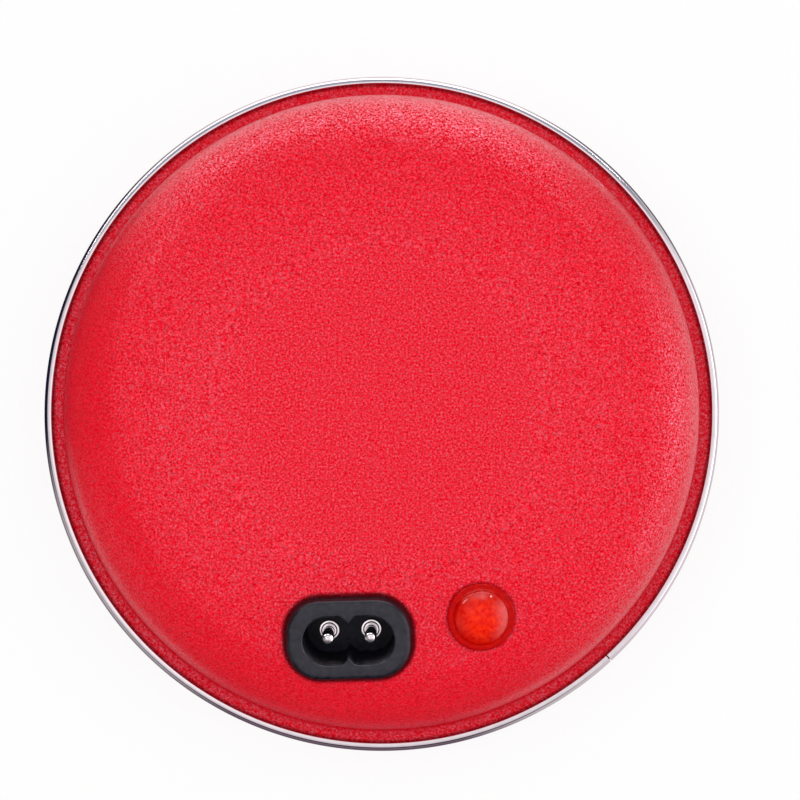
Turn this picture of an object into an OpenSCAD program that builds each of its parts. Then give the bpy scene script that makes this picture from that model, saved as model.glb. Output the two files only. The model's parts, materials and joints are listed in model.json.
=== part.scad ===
// Round mains-charged hand warmer. Two pressed domes meet at a flange under a split
// clamp ring, round a ceramic heat store with its element, thermostat, fuse and lamp.
// Millimetres. It lies on its back dome, and the inlet face looks up.

/* [Case] */
// Diameter over the clamp ring
case_d = 143; // [133:1:157]
// Thickness over the two domes
case_h = 50; // [47:1:58]
// Thickness of the pressed sheet
sheet = 0.6; // [0.5:0.05:0.8]
// Radius of the shallow crown, in profile
crown_r = 147; // [130:1:160]
// Slope where the crown turns into the shoulder, degrees
crown_slope = 10.5; // [9:0.5:12]
// Radius of the shoulder, in profile
shoulder_r = 15.8; // [14.4:0.2:16.8]
// Draft of the dome's wall, degrees
wall_draft = 3; // [1:0.5:5]
// Radius where the wall turns into the flange
root_r = 1.2; // [0.8:0.1:1.6]
// Width of the flange, from the foot of the wall
flange_w = 4.15; // [3.6:0.05:4.8]
// Thickness of the gasket between the flanges
gasket_t = 3.2; // [2.4:0.1:4]
// Width of the gasket
gasket_w = 2.6; // [2:0.1:2.8]

/* [Clamp ring] */
// Thickness of the ring's web
ring_sheet = 0.5; // [0.4:0.05:0.7]
// Room between the flange's edge and the web
ring_play = 0.4; // [0.35:0.05:0.6]
// Radius of the rolled lips
bead_r = 0.8; // [0.6:0.05:1]
// How far the lips reach in from the outside
lip_reach = 2; // [1.7:0.05:2.3]
// Gap of the split
split_gap = 0.8; // [0.5:0.1:1.5]
// Direction of the split, seen from the inlet face
split_az = 312.4; // [300:0.1:330]
// Thickness of the splice under the split
splice_t = 0.25; // [0.15:0.05:0.25]
// Length of the splice
splice_len = 11; // [8:0.5:14]

/* [Inlet] */
// Distance of the inlet from the outside of the ring
inlet_inset = 24.7; // [24:0.1:26]
// Direction of the inlet, seen from its face
inlet_az = 261.7; // [255:0.1:268]
// Turn of the inlet about its own axis, degrees
inlet_turn = 1.5; // [-4:0.1:4]
// Width of the bezel
bezel_w = 25.4; // [24.6:0.1:27]
// Height of the bezel
bezel_h = 16.6; // [15.8:0.1:17.4]
// How far the bezel's middle lies above the socket's
bezel_rise = 0.15; // [0:0.05:0.4]
// Corner radius of the bezel
bezel_corner = 7.2; // [5:0.1:7.4]
// How far the bezel stands out of the dome
bezel_t = 2.5; // [1.8:0.1:3.4]
// Rounding of the bezel's front edge
bezel_edge = 0.9; // [0.4:0.1:1.4]
// Width of the body behind the bezel
inlet_body_w = 21.6; // [21.2:0.1:22.4]
// Height of the body behind the bezel
inlet_body_h = 12.8; // [12.4:0.1:13.4]
// Corner radius of the body
inlet_body_corner = 5.4; // [4:0.1:5.8]
// Depth of the body behind the bezel
inlet_body_depth = 12; // [11.6:0.1:13]
// Distance between the pins
pin_pitch = 8.6; // [8.4:0.1:8.8]
// Radius of the socket round each pin
lobe_r = 4.85; // [4.6:0.05:5.1]
// Depth of the socket, from the bezel's front
socket_depth = 12; // [11:0.1:12.4]
// Height of the ridges at the socket's waist
ridge_h = 1.5; // [0.8:0.1:1.8]
// Width of a ridge at its foot
ridge_w = 3.2; // [2.4:0.1:4]
// Width of a ridge at its tip
ridge_tip_w = 0.8; // [0.4:0.1:1.2]
// Diameter of a pin
pin_d = 2.4; // [2.2:0.05:2.5]
// How far a pin stands up from the socket's floor
pin_len = 9.6; // [8.6:0.1:10]
// Diameter of a pin's collar
collar_d = 4.1; // [3.6:0.1:4.6]
// Thickness of a pin's collar
collar_t = 0.8; // [0.5:0.1:1.2]
// Length of the lugs behind the inlet
lug_len = 6.5; // [5:0.1:7]

/* [Lamp] */
// Direction of the lamp, seen from its face
lamp_az = 295.2; // [292:0.1:302]
// Distance of the lamp from the outside of the ring
lamp_inset = 25.1; // [24:0.1:26.4]
// Diameter of the lens rim
lens_rim_d = 13.6; // [12.8:0.1:14.4]
// Thickness of the lens rim
lens_rim_t = 1; // [0.7:0.1:1.4]
// Diameter of the lens dome
lens_dome_d = 11; // [10.2:0.1:12]
// Height of the lens dome over its rim
lens_dome_h = 2.6; // [1.8:0.1:4]
// Diameter of the lens stem
lens_stem_d = 9.6; // [9.2:0.1:10]
// Length of the lens stem behind the dome
lens_stem_len = 9; // [8:0.1:10]
// Thickness of the lens wall
lens_wall = 1.1; // [0.9:0.1:1.3]
// Diameter of the neon bulb
bulb_d = 6; // [5.4:0.1:6.4]

/* [Heat store] */
// Room for the electrical parts, from the wall to the core's flat
bay_depth = 36.6; // [36:0.1:38]
// Width of the felt between the core and the wall
side_felt_w = 14; // [12:0.5:16]
// Thickness of one storage block
block_t = 12; // [11.6:0.1:12.6]
// Thickness of a mica sheet
mica_t = 0.6; // [0.4:0.1:1]
// Thickness of the element's ribbon
ribbon_t = 0.4; // [0.3:0.05:0.6]
// Width of the element's ribbon
ribbon_w = 2.4; // [1.8:0.1:3]
// Distance between the element's runs
ribbon_pitch = 10; // [9.6:0.1:10.6]
// Diameter of the core's bolt
bolt_d = 6; // [5:0.1:6.2]
// Thickness of the core's bracket
bracket_t = 1; // [0.8:0.1:1.2]

/* [Thermostat] */
// Sideways place of the thermostat
thermostat_x = -24; // [-24.6:0.1:-23.6]
// Outside diameter of the thermostat's cap
thermostat_d = 16.2; // [15.8:0.1:16.6]
// Distance between the thermostat's screws
screw_pitch = 24; // [23.4:0.1:24.4]
// Travel of the contact arm, degrees, as its hinge allows
arm_travel = 5; // [3:0.5:6]

/* [Hidden] */

$fn = 72;
cut = 1;               // overrun of a cut past the face that it opens
fit_gap = 0.2;         // room round a piece in its opening
seat_gap = 0.05;       // room between rigid pieces that bear on each other
soft_gap = 0.3;        // room between the felt and what it packs
skin = 0.01;           // overlap that joins two lumps of one piece
corner_steps = 8;      // chords in a quarter of a rounded outline
edge_steps = 4;        // chords in a rounded edge
bend_steps = 24;       // chords along a lead
lead_sides = 8;        // sides of a lead

mid = case_h / 2;
rim_r = case_d / 2;
flange_r = rim_r - ring_sheet - ring_play;
flange_under = gasket_t / 2;
flange_top = flange_under + sheet;

// Profile of a dome above the middle plane: crown, shoulder, drafted wall, root, flange
crown_steps = 8;
shoulder_steps = 18;
root_steps = 6;
foot_r = flange_r - flange_w;
shoulder_y = mid - crown_r * (1 - cos(crown_slope)) - shoulder_r * cos(crown_slope);
wall_top_y = shoulder_y + shoulder_r * sin(wall_draft);
wall_top_r = foot_r - (wall_top_y - flange_top) * tan(wall_draft);
shoulder_c = [wall_top_r - shoulder_r * cos(wall_draft), shoulder_y];
crown_end_r = shoulder_c.x + shoulder_r * sin(crown_slope);
flat_r = crown_end_r - crown_r * sin(crown_slope);
crown_c = [flat_r, mid - crown_r];
root_c = [foot_r + root_r / cos(wall_draft) - root_r * tan(wall_draft), flange_top + root_r];

function arc(c, r, a0, a1, n) =
    [for (i = [0:n]) let (a = a0 + (a1 - a0) * i / n) c + r * [cos(a), sin(a)]];
function but_first(list) = [for (i = [1:len(list) - 1]) list[i]];
function backwards(list) = [for (i = [len(list) - 1:-1:0]) list[i]];
function below(list) = [for (p = backwards(list)) [p.x, -p.y]];

// The dome's surface, or one that lies the given depth inside it
function dome_line(depth) = concat(
    [[0, mid - depth]],
    arc(crown_c, crown_r - depth, 90, 90 - crown_slope, crown_steps),
    but_first(arc(shoulder_c, shoulder_r - depth, 90 - crown_slope, wall_draft, shoulder_steps)),
    arc(root_c, root_r + depth, 180 + wall_draft, 270, root_steps));

function dome_y(r) = r < crown_end_r
    ? crown_c.y + sqrt(pow(crown_r, 2) - pow(r - flat_r, 2))
    : shoulder_c.y + sqrt(pow(shoulder_r, 2) - pow(r - shoulder_c.x, 2));
function dome_slope(r) = r < crown_end_r
    ? asin((r - flat_r) / crown_r)
    : asin((r - shoulder_c.x) / shoulder_r);

// A piece on the dome stands square to it. Its place is a direction, a distance from the
// middle and a turn; these give its own frame, a point of that frame and the way in.
inlet_place = [inlet_az, rim_r - inlet_inset, inlet_turn];
lamp_place = [lamp_az, rim_r - lamp_inset, 0];
function place_foot(place) =
    [place[1] * cos(place[0]), place[1] * sin(place[0]), mid + dome_y(place[1])];
function fitting_point(place, p) =
    let (v = [-sin(place[0]), cos(place[0]), 0], lean = dome_slope(place[1]),
        c = cos(lean), s = sin(lean),
        q = [p.x * cos(place[2]) - p.y * sin(place[2]), p.x * sin(place[2]) + p.y * cos(place[2]), p.z])
    place_foot(place) + q * c + cross(v, q) * s + v * (v * q) * (1 - c);
function fitting_in(place) = let (lean = dome_slope(place[1]))
    -[sin(lean) * cos(place[0]), sin(lean) * sin(place[0]), cos(lean)];
module at_fitting(place) {
    translate(place_foot(place))
        rotate(a = dome_slope(place[1]), v = [-sin(place[0]), cos(place[0]), 0])
            rotate(place[2])
                children();
}

// A rectangle with round corners, centred
function box_points(w, h, r) = concat(
    arc([w / 2 - r, h / 2 - r], r, 0, 90, corner_steps),
    arc([r - w / 2, h / 2 - r], r, 90, 180, corner_steps),
    arc([r - w / 2, r - h / 2], r, 180, 270, corner_steps),
    arc([w / 2 - r, r - h / 2], r, 270, 360, corner_steps));
module round_box(w, h, r, t) {
    linear_extrude(t) polygon(box_points(w, h, r));
}

// A solid through a stack of rings, each a list of as many points, wound alike
module loft(rings) {
    n = len(rings[0]);
    last = len(rings) - 1;
    sides = [for (i = [0:last - 1]) for (k = [0:n - 1])
        let (k2 = (k + 1) % n, a = i * n, b = a + n)
        for (face = [[a + k, b + k, b + k2], [a + k, b + k2, a + k2]]) face];
    first_cap = [for (k = [0:n - 1]) k];
    last_cap = [for (k = [n - 1:-1:0]) last * n + k];
    polyhedron([for (ring = rings) each ring], concat(sides, [first_cap, last_cap]));
}

// A lead: a round tube from p0 to p1, which leaves them square in the directions d0 and d1
function unit(v) = v / norm(v);
function bend(p0, d0, d1, p1, t) = let (u = 1 - t)
    pow(u, 3) * p0 + 3 * u * u * t * (p0 + d0) + 3 * u * t * t * (p1 + d1) + pow(t, 3) * p1;
function heading(p0, d0, d1, p1, t) = let (u = 1 - t)
    unit(u * u * d0 + 2 * u * t * (p1 + d1 - p0 - d0) - t * t * d1);
module lead(p0, d0, d1, p1, r, up) {
    loft([for (i = [0:bend_steps])
        let (t = i / bend_steps,
            along = heading(p0, d0, d1, p1, t),
            n = unit(cross(up, along)), b = cross(along, n))
        [for (k = [0:lead_sides - 1])
            let (a = 360 * k / lead_sides)
            bend(p0, d0, d1, p1, t) + r * (cos(a) * n + sin(a) * b)]]);
}

// Case

module dome() {
    rotate_extrude()
        polygon(concat(
            dome_line(0),
            [[flange_r, flange_top], [flange_r, flange_under]],
            backwards(dome_line(sheet))));
}

module front_shell() {
    hole_deep = sheet + cut;
    color("crimson") difference() {
        translate([0, 0, mid]) dome();
        at_fitting(inlet_place) translate([0, 0, -hole_deep])
            round_box(inlet_body_w + 2 * fit_gap, inlet_body_h + 2 * fit_gap,
                inlet_body_corner + fit_gap, 2 * hole_deep);
        at_fitting(lamp_place) translate([0, 0, -hole_deep])
            cylinder(d = lens_stem_d + 2 * fit_gap, h = 2 * hole_deep);
    }
}

module back_shell() {
    color("crimson") translate([0, 0, mid]) mirror([0, 0, 1]) dome();
}

lip_y = flange_top + seat_gap;
bead_c = [rim_r - lip_reach + bead_r, lip_y + bead_r];
web_r = rim_r - ring_sheet;
split_deg = 2 * asin(split_gap / 2 / rim_r);

module clamp_ring() {
    upper = concat(
        [[web_r, lip_y]],
        arc(bead_c, bead_r, 270, 90, 2 * corner_steps),
        arc([rim_r - bead_r, bead_c.y], bead_r, 90, 0, corner_steps));
    color("silver") translate([0, 0, mid])
        rotate_extrude(angle = 360 - split_deg, start = split_az + split_deg / 2)
            polygon(concat(upper, below(upper)));
}

module ring_splice() {
    splice_deg = 2 * asin(splice_len / 2 / web_r);
    color("gainsboro") translate([0, 0, mid])
        rotate_extrude(angle = splice_deg, start = split_az - splice_deg / 2)
            translate([web_r - seat_gap - splice_t, -flange_top])
                square([splice_t, 2 * flange_top]);
}

module rim_gasket() {
    color("dimgray") translate([0, 0, mid - flange_under])
        difference() {
            cylinder(r = flange_r - fit_gap, h = gasket_t);
            translate([0, 0, -cut])
                cylinder(r = flange_r - fit_gap - gasket_w, h = gasket_t + 2 * cut);
        }
}

// Inlet

retainer_t = 0.8;
retainer_rim = 2.6;
retainer_drop = 1;     // from the dome's inside to the retainer, which spans its hollow
retainer_top = -sheet - retainer_drop;
barb_out = 0.9;
barb_len = 3;
barb_w = 4;
lug_w = 3.2;
lug_t = 0.8;
pin_rear = 1;          // the pin's own length behind the body
socket_floor = bezel_t - socket_depth;

function socket_points() =
    let (side = [
        [ridge_w / 2, lobe_r], [ridge_tip_w / 2, lobe_r - ridge_h],
        [-ridge_tip_w / 2, lobe_r - ridge_h], [-ridge_w / 2, lobe_r]])
    concat(
        arc([pin_pitch / 2, 0], lobe_r, -90, 90, 2 * corner_steps),
        side,
        arc([-pin_pitch / 2, 0], lobe_r, 90, 270, 2 * corner_steps),
        [for (p = side) -p]);

function bezel_ring(drawn_in, z) =
    [for (p = box_points(bezel_w - 2 * drawn_in, bezel_h - 2 * drawn_in, bezel_corner - drawn_in))
        [p.x, p.y, z]];
module bezel() {
    loft(concat(
        [bezel_ring(0, 0)],
        [for (k = [0:edge_steps]) let (a = 90 * k / edge_steps)
            bezel_ring(bezel_edge * (1 - cos(a)), bezel_t - bezel_edge * (1 - sin(a)))]));
}

module inlet_housing() {
    barb_top = retainer_top - retainer_t - seat_gap;
    color([0.2, 0.2, 0.22]) at_fitting(inlet_place) difference() {
        union() {
            translate([0, bezel_rise, seat_gap]) bezel();
            translate([0, 0, -inlet_body_depth])
                round_box(inlet_body_w, inlet_body_h, inlet_body_corner, inlet_body_depth + cut);
            for (side = [-1, 1])
                scale([side, 1, 1]) translate([inlet_body_w / 2, barb_w / 2, barb_top])
                    rotate([90, 0, 0]) linear_extrude(barb_w)
                        polygon([[-cut, 0], [barb_out, 0], [0, -barb_len], [-cut, -barb_len]]);
        }
        translate([0, 0, socket_floor]) linear_extrude(socket_depth + cut) polygon(socket_points());
        for (side = [-1, 1])
            translate([side * pin_pitch / 2, 0, -inlet_body_depth - cut])
                cylinder(d = pin_d + 2 * seat_gap, h = inlet_body_depth + 2 * cut);
    }
}

module inlet_pin() {
    tip_r = pin_d / 2;
    translate([0, 0, socket_floor + seat_gap]) cylinder(d = collar_d, h = collar_t);
    translate([0, 0, -inlet_body_depth - pin_rear])
        cylinder(d = pin_d, h = inlet_body_depth + pin_rear + socket_floor + pin_len - tip_r);
    translate([0, 0, socket_floor + pin_len - tip_r]) sphere(r = tip_r);
    translate([-lug_w / 2, -lug_t / 2, -inlet_body_depth - lug_len])
        cube([lug_w, lug_t, lug_len - seat_gap]);
}

module inlet_pins() {
    color("gainsboro") at_fitting(inlet_place)
        for (side = [-1, 1]) translate([side * pin_pitch / 2, 0, 0]) inlet_pin();
}

module inlet_retainer() {
    color("slategray") at_fitting(inlet_place)
        translate([0, 0, retainer_top - retainer_t]) difference() {
            round_box(inlet_body_w + 2 * retainer_rim, inlet_body_h + 2 * retainer_rim,
                inlet_body_corner + retainer_rim, retainer_t);
            translate([0, 0, -cut])
                round_box(inlet_body_w + fit_gap, inlet_body_h + fit_gap,
                    inlet_body_corner + fit_gap / 2, retainer_t + 2 * cut);
        }
}

// Lamp

nut_t = 0.5;
nut_rim = 2.2;
nut_drop = 0.4;        // from the dome's inside to the push nut
bulb_wall = 0.5;
bulb_room = 0.4;
bulb_foot = -lens_stem_len - bulb_wall;
bulb_len = lens_rim_t + lens_dome_h - lens_wall - bulb_room - bulb_foot;
electrode_d = 0.8;
electrode_gap = 2.4;
electrode_len = 7;
resistor_d = 2;
resistor_len = 4.5;
resistor_top = bulb_foot - 2 * bulb_wall;

// A dome over a flat foot, as an ellipse of the given half width and height
function cap_line(w, y0, h) =
    [for (i = [0:corner_steps]) let (a = 90 * i / corner_steps) [w * cos(a), y0 + h * sin(a)]];

module lamp_lens() {
    rim = lens_rim_d / 2;
    bore = lens_stem_d / 2 - lens_wall;
    color([0.9, 0.1, 0.05, 0.6]) at_fitting(lamp_place) translate([0, 0, seat_gap])
        rotate_extrude() polygon(concat(
            [[bore, -lens_stem_len], [lens_stem_d / 2, -lens_stem_len],
                [lens_stem_d / 2, 0], [rim, 0]],
            arc([rim - lens_rim_t / 2, lens_rim_t / 2], lens_rim_t / 2, 0, 90, edge_steps),
            cap_line(lens_dome_d / 2, lens_rim_t, lens_dome_h),
            backwards(cap_line(bore, lens_rim_t, lens_dome_h - lens_wall))));
}

module lamp_push_nut() {
    color("slategray") at_fitting(lamp_place) translate([0, 0, -sheet - nut_drop - nut_t])
        difference() {
            cylinder(d = lens_stem_d + 2 * nut_rim, h = nut_t);
            translate([0, 0, -cut]) cylinder(d = lens_stem_d + 2 * seat_gap, h = nut_t + 2 * cut);
        }
}

module neon_bulb() {
    r = bulb_d / 2;
    color([0.95, 0.9, 0.85, 0.5]) at_fitting(lamp_place) translate([0, 0, bulb_foot])
        rotate_extrude() polygon(concat(
            [[0, 0], [r, 0]],
            cap_line(r, bulb_len - r, r),
            [[0, bulb_len - bulb_wall]],
            but_first(backwards(cap_line(r - bulb_wall, bulb_len - r, r - bulb_wall))),
            [[r - bulb_wall, 2 * bulb_wall], [0, 2 * bulb_wall]]));
}

module lamp_electrodes() {
    color("silver") at_fitting(lamp_place)
        for (side = [-1, 1])
            translate([side * electrode_gap / 2, 0, bulb_foot + 2 * bulb_wall + skin])
                cylinder(d = electrode_d, h = electrode_len);
}

module lamp_resistor() {
    color("tan") at_fitting(lamp_place)
        translate([electrode_gap / 2, 0, resistor_top - resistor_len]) {
            cylinder(d = resistor_d, h = resistor_len);
            cylinder(d = electrode_d, h = bulb_foot - resistor_top + resistor_len - skin);
        }
}

// Heat store

wall_in_r = wall_top_r - sheet;
core_flat = wall_in_r - bay_depth;
core_r = wall_in_r - side_felt_w - 2 * soft_gap;
stack_y = ribbon_t / 2 + mica_t + block_t;
bolt_hole_d = bolt_d + 2 * fit_gap;
bay_y = -core_flat - bracket_t;

module d_shape(r) {
    intersection() {
        circle(r);
        translate([-r, -core_flat]) square([2 * r, r + core_flat]);
    }
}

module core_layer(y, t) {
    translate([0, 0, mid + y]) linear_extrude(t) difference() {
        d_shape(core_r);
        circle(d = bolt_hole_d);
    }
}

module storage_block_front() {
    color("tan") core_layer(stack_y - block_t, block_t);
}

module storage_block_back() {
    color("tan") core_layer(-stack_y, block_t);
}

module mica_front() {
    color("khaki") core_layer(ribbon_t / 2, mica_t);
}

module mica_back() {
    color("khaki") core_layer(-ribbon_t / 2 - mica_t, mica_t);
}

run_count = 2 * floor((core_r - 2 * ribbon_w) / ribbon_pitch);
run_reach = core_r - 1.25 * ribbon_w;
run_foot = -core_flat + 3 * ribbon_w;
tail_y = -core_flat + ribbon_w / 2;
tail_x = [-3 * bracket_t, 4 * bracket_t];
tail_out = 3;
function run_x(i) = (i - (run_count - 1) / 2) * ribbon_pitch;
function run_top(i) =
    let (far = max(abs(run_x(i)), abs(run_x(i % 2 == 0 ? i + 1 : i - 1))) + ribbon_w / 2)
    sqrt(pow(run_reach, 2) - pow(far, 2));

module strip(x0, y0, x1, y1) {
    translate([min(x0, x1) - ribbon_w / 2, min(y0, y1) - ribbon_w / 2])
        square([abs(x1 - x0) + ribbon_w, abs(y1 - y0) + ribbon_w]);
}

module heating_element() {
    last = run_count - 1;
    color("silver") translate([0, 0, mid - ribbon_t / 2]) linear_extrude(ribbon_t) {
        for (i = [0:last])
            strip(run_x(i), i == 0 || i == last ? tail_y : run_foot, run_x(i), run_top(i));
        for (i = [0:last - 1])
            if (i % 2 == 0)
                strip(run_x(i), run_top(i), run_x(i + 1), run_top(i));
            else
                strip(run_x(i), run_foot, run_x(i + 1), run_foot);
        for (end = [0, 1]) {
            strip(run_x(end * last), tail_y, tail_x[end], tail_y);
            strip(tail_x[end], tail_y, tail_x[end], bay_y - tail_out + ribbon_w / 2);
        }
    }
}

washer_d = 14;
washer_t = 1.2;
hex_d = 11.5;
head_t = 4;
nut_h = 5;
bolt_tail = 1.5;
head_foot = stack_y + bracket_t + washer_t;

module core_bolt() {
    color("silver") translate([0, 0, mid]) {
        translate([0, 0, head_foot]) cylinder(d = hex_d, h = head_t, $fn = 6);
        translate([0, 0, -stack_y - washer_t - nut_h - bolt_tail])
            cylinder(d = bolt_d, h = stack_y + washer_t + nut_h + bolt_tail + head_foot + skin);
    }
}

module core_nut() {
    color("silver") translate([0, 0, mid - stack_y - washer_t - nut_h]) difference() {
        cylinder(d = hex_d, h = nut_h, $fn = 6);
        translate([0, 0, -cut]) cylinder(d = bolt_d + 2 * seat_gap, h = nut_h + 2 * cut);
    }
}

module core_washers() {
    color("gainsboro") for (y = [stack_y + bracket_t, -stack_y - washer_t])
        translate([0, 0, mid + y]) difference() {
            cylinder(d = washer_d, h = washer_t);
            translate([0, 0, -cut]) cylinder(d = bolt_hole_d, h = washer_t + 2 * cut);
        }
}

bracket_w = 16;
plate_left = -38.5;
plate_right = 36;
plate_foot = -stack_y + 1;
screw_d = 3;
screw_head_d = 5.5;
screw_head_t = 2;

module bay_hole(x, y) {
    translate([x, bay_y - cut, mid + y]) rotate([-90, 0, 0])
        cylinder(d = screw_d + 2 * seat_gap, h = bracket_t + 2 * cut);
}

module core_bracket() {
    color("slategray") difference() {
        union() {
            translate([-bracket_w / 2, bay_y, mid + stack_y])
                cube([bracket_w, -bay_y + washer_d / 2 + bracket_t, bracket_t]);
            translate([plate_left, bay_y, mid + plate_foot])
                cube([plate_right - plate_left, bracket_t, stack_y - plate_foot + bracket_t]);
        }
        translate([0, 0, mid + stack_y - cut]) cylinder(d = bolt_hole_d, h = bracket_t + 2 * cut);
        for (x = tail_x)
            translate([x - ribbon_w, bay_y - cut, mid - ribbon_w / 2])
                cube([2 * ribbon_w, bracket_t + 2 * cut, ribbon_w]);
        for (side = [-1, 1]) bay_hole(thermostat_x + side * screw_pitch / 2, thermostat_y);
        bay_hole(terminal_x, terminal_y);
    }
}

// Felt

washer_room = 0.6;     // room round the washers in the felt

module dome_fill(low) {
    intersection() {
        rotate_extrude()
            polygon(concat(dome_line(sheet + soft_gap), [[root_c.x, 0], [0, 0]]));
        translate([0, 0, low]) cylinder(r = rim_r, h = case_h);
    }
}

module felt_front() {
    color("whitesmoke") translate([0, 0, mid]) difference() {
        dome_fill(stack_y);
        translate([-rim_r, -core_flat - rim_r, 0])
            cube([2 * rim_r, rim_r, mid]);
        translate([0, 0, stack_y - cut])
            cylinder(d = washer_d + 2 * washer_room,
                h = cut + bracket_t + washer_t + head_t + soft_gap);
        translate([-bracket_w / 2 - soft_gap, -rim_r, stack_y - cut])
            cube([bracket_w + 2 * soft_gap, rim_r + washer_d / 2 + bracket_t + soft_gap,
                cut + bracket_t + soft_gap]);
    }
}

// The back felt has a hollow under the leads that hang from the terminal block
module felt_back() {
    hollow_left = tail_x[0] - ribbon_w;
    hollow_right = terminal_x + terminal_w / 2 + soft_gap;
    hollow_out = terminal_deep + soft_gap;
    color("whitesmoke") translate([0, 0, mid]) mirror([0, 0, 1]) difference() {
        dome_fill(stack_y);
        translate([0, 0, stack_y - cut])
            cylinder(d = washer_d + 2 * washer_room,
                h = cut + washer_t + nut_h + bolt_tail + soft_gap);
        translate([hollow_left, bay_y - hollow_out, 0])
            cube([hollow_right - hollow_left, hollow_out, mid - lead_low]);
    }
}

module felt_side() {
    side_r = shoulder_c.x + sqrt(pow(shoulder_r - sheet - soft_gap, 2)
        - pow(stack_y - shoulder_c.y, 2));
    color("whitesmoke") translate([0, 0, mid - stack_y]) linear_extrude(2 * stack_y)
        difference() {
            d_shape(side_r);
            circle(core_r + soft_gap);
        }
}

// Thermostat: its own frame has z away from the core and y up

thermostat_y = -3;
cap_wall = 0.5;
cap_h = 5;
ear_t = 0.8;
ear_w = 8;
disc_t = 0.25;
disc_rise = 0.6;
disc_r = thermostat_d / 2 - cap_wall - 2 * fit_gap;
disc_foot = cap_wall + seat_gap;
disc_seat = disc_foot + disc_rise + disc_t;
guide_rim = 0.7;
guide_foot = disc_seat + guide_rim;
guide_top = cap_h - 0.6;
guide_r = thermostat_d / 2 - cap_wall - seat_gap;
tpin_d = 2.1;
tpin_foot = disc_foot + disc_t + 2 * seat_gap + fit_gap;
base_r = guide_r - seat_gap;
base_top = 11;
chamber_r = 6.2;
foot_t = 0.6;
foot_w = 3.4;
contact_d = 2.4;
contact_t = 0.6;
contact_x = 3.4;
arm_x = -3.8;          // the arm's hinge, at its rivet
arm_w = 3;
arm_t = 0.3;
arm_tail = 1.2;        // the arm's end behind its hinge
arm_foot = guide_top + seat_gap + foot_t + 2 * contact_t + seat_gap;
arm_play = 0.14;
arm_lift = (contact_x + contact_d / 2 - arm_x) * sin(arm_travel);
arm_room = 1.8;        // room over the arm when it is lifted
chamber_top = arm_foot + arm_lift + arm_room;
blade_w = 6.3;
blade_t = 0.8;
blade_x = 5.6;
blade_top = 18.5;
rivet_d = 1.4;
rivet_head_d = 2.1;

module at_thermostat() {
    translate([thermostat_x, bay_y, mid + thermostat_y]) rotate([90, 0, 0]) children();
}

module thermostat_bracket() {
    color("silver") at_thermostat() difference() {
        union() {
            cylinder(d = thermostat_d + 2 * cap_wall + 2 * ear_t, h = ear_t);
            translate([-screw_pitch / 2, -ear_w / 2, 0]) cube([screw_pitch, ear_w, ear_t]);
            for (side = [-1, 1])
                translate([side * screw_pitch / 2, 0, 0]) cylinder(d = ear_w, h = ear_t);
        }
        translate([0, 0, -cut]) cylinder(d = thermostat_d + 2 * seat_gap, h = ear_t + 2 * cut);
        for (side = [-1, 1])
            translate([side * screw_pitch / 2, 0, -cut])
                cylinder(d = screw_d + 2 * seat_gap, h = ear_t + 2 * cut);
    }
}

module thermostat_cap() {
    color("gainsboro") at_thermostat() difference() {
        cylinder(d = thermostat_d, h = cap_h);
        translate([0, 0, cap_wall]) cylinder(d = thermostat_d - 2 * cap_wall, h = cap_h);
    }
}

module bimetal_disc() {
    bow_r = (pow(disc_r, 2) + pow(disc_rise, 2)) / (2 * disc_rise);
    bow = asin(disc_r / bow_r);
    color("peru") at_thermostat() translate([0, 0, disc_foot])
        rotate_extrude() polygon(concat(
            arc([0, bow_r], bow_r, 270, 270 + bow, corner_steps),
            backwards(arc([0, bow_r + disc_t], bow_r, 270, 270 + bow, corner_steps))));
}

module thermostat_guide() {
    color("ivory") at_thermostat() difference() {
        translate([0, 0, disc_seat + seat_gap])
            cylinder(r = guide_r, h = guide_top - disc_seat - seat_gap);
        cylinder(r = guide_r - guide_rim, h = guide_foot);
        cylinder(d = tpin_d + 2 * seat_gap, h = guide_top + cut);
    }
}

module thermostat_base() {
    color([0.25, 0.18, 0.14]) at_thermostat() difference() {
        translate([0, 0, guide_top + seat_gap]) cylinder(r = base_r, h = base_top - guide_top);
        cylinder(r = chamber_r, h = chamber_top);
        for (side = [-1, 1])
            translate([side * blade_x - blade_t / 2 - seat_gap, -blade_w / 2 - seat_gap, 0])
                cube([blade_t + 2 * seat_gap, blade_w + 2 * seat_gap, base_top + cut]);
    }
}

module transfer_pin() {
    color("white") at_thermostat() translate([0, 0, tpin_foot])
        cylinder(d = tpin_d, h = arm_foot - seat_gap - tpin_foot);
}

module contact_arm() {
    color("darkorange") at_thermostat() translate([0, 0, arm_foot]) difference() {
        translate([arm_x - arm_tail, -arm_w / 2, 0])
            cube([contact_x + contact_d / 2 - arm_x + arm_tail, arm_w, arm_t]);
        translate([arm_x, 0, -cut]) cylinder(d = rivet_d + 2 * arm_play, h = arm_t + 2 * cut);
    }
}

module moving_contact() {
    color("white") at_thermostat() translate([contact_x, 0, arm_foot - contact_t])
        cylinder(d = contact_d, h = contact_t);
}

module fixed_contact() {
    color("white") at_thermostat()
        translate([contact_x, 0, guide_top + seat_gap + foot_t])
            cylinder(d = contact_d, h = contact_t);
}

module blade(side, foot) {
    translate([side * blade_x - blade_t / 2, -blade_w / 2, foot])
        cube([blade_t, blade_w, blade_top - foot]);
}

module arm_terminal() {
    foot_top = arm_foot - arm_play;
    head_foot = arm_foot + arm_t + arm_play;
    color("goldenrod") at_thermostat() {
        blade(-1, foot_top - foot_t);
        translate([-blade_x, -foot_w / 2, foot_top - foot_t])
            cube([arm_x + rivet_head_d / 2 + blade_x, foot_w, foot_t]);
        translate([arm_x, 0, foot_top - foot_t])
            cylinder(d = rivet_d, h = head_foot - foot_top + foot_t + skin);
        translate([arm_x, 0, head_foot]) cylinder(d = rivet_head_d, h = arm_t);
    }
}

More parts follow.
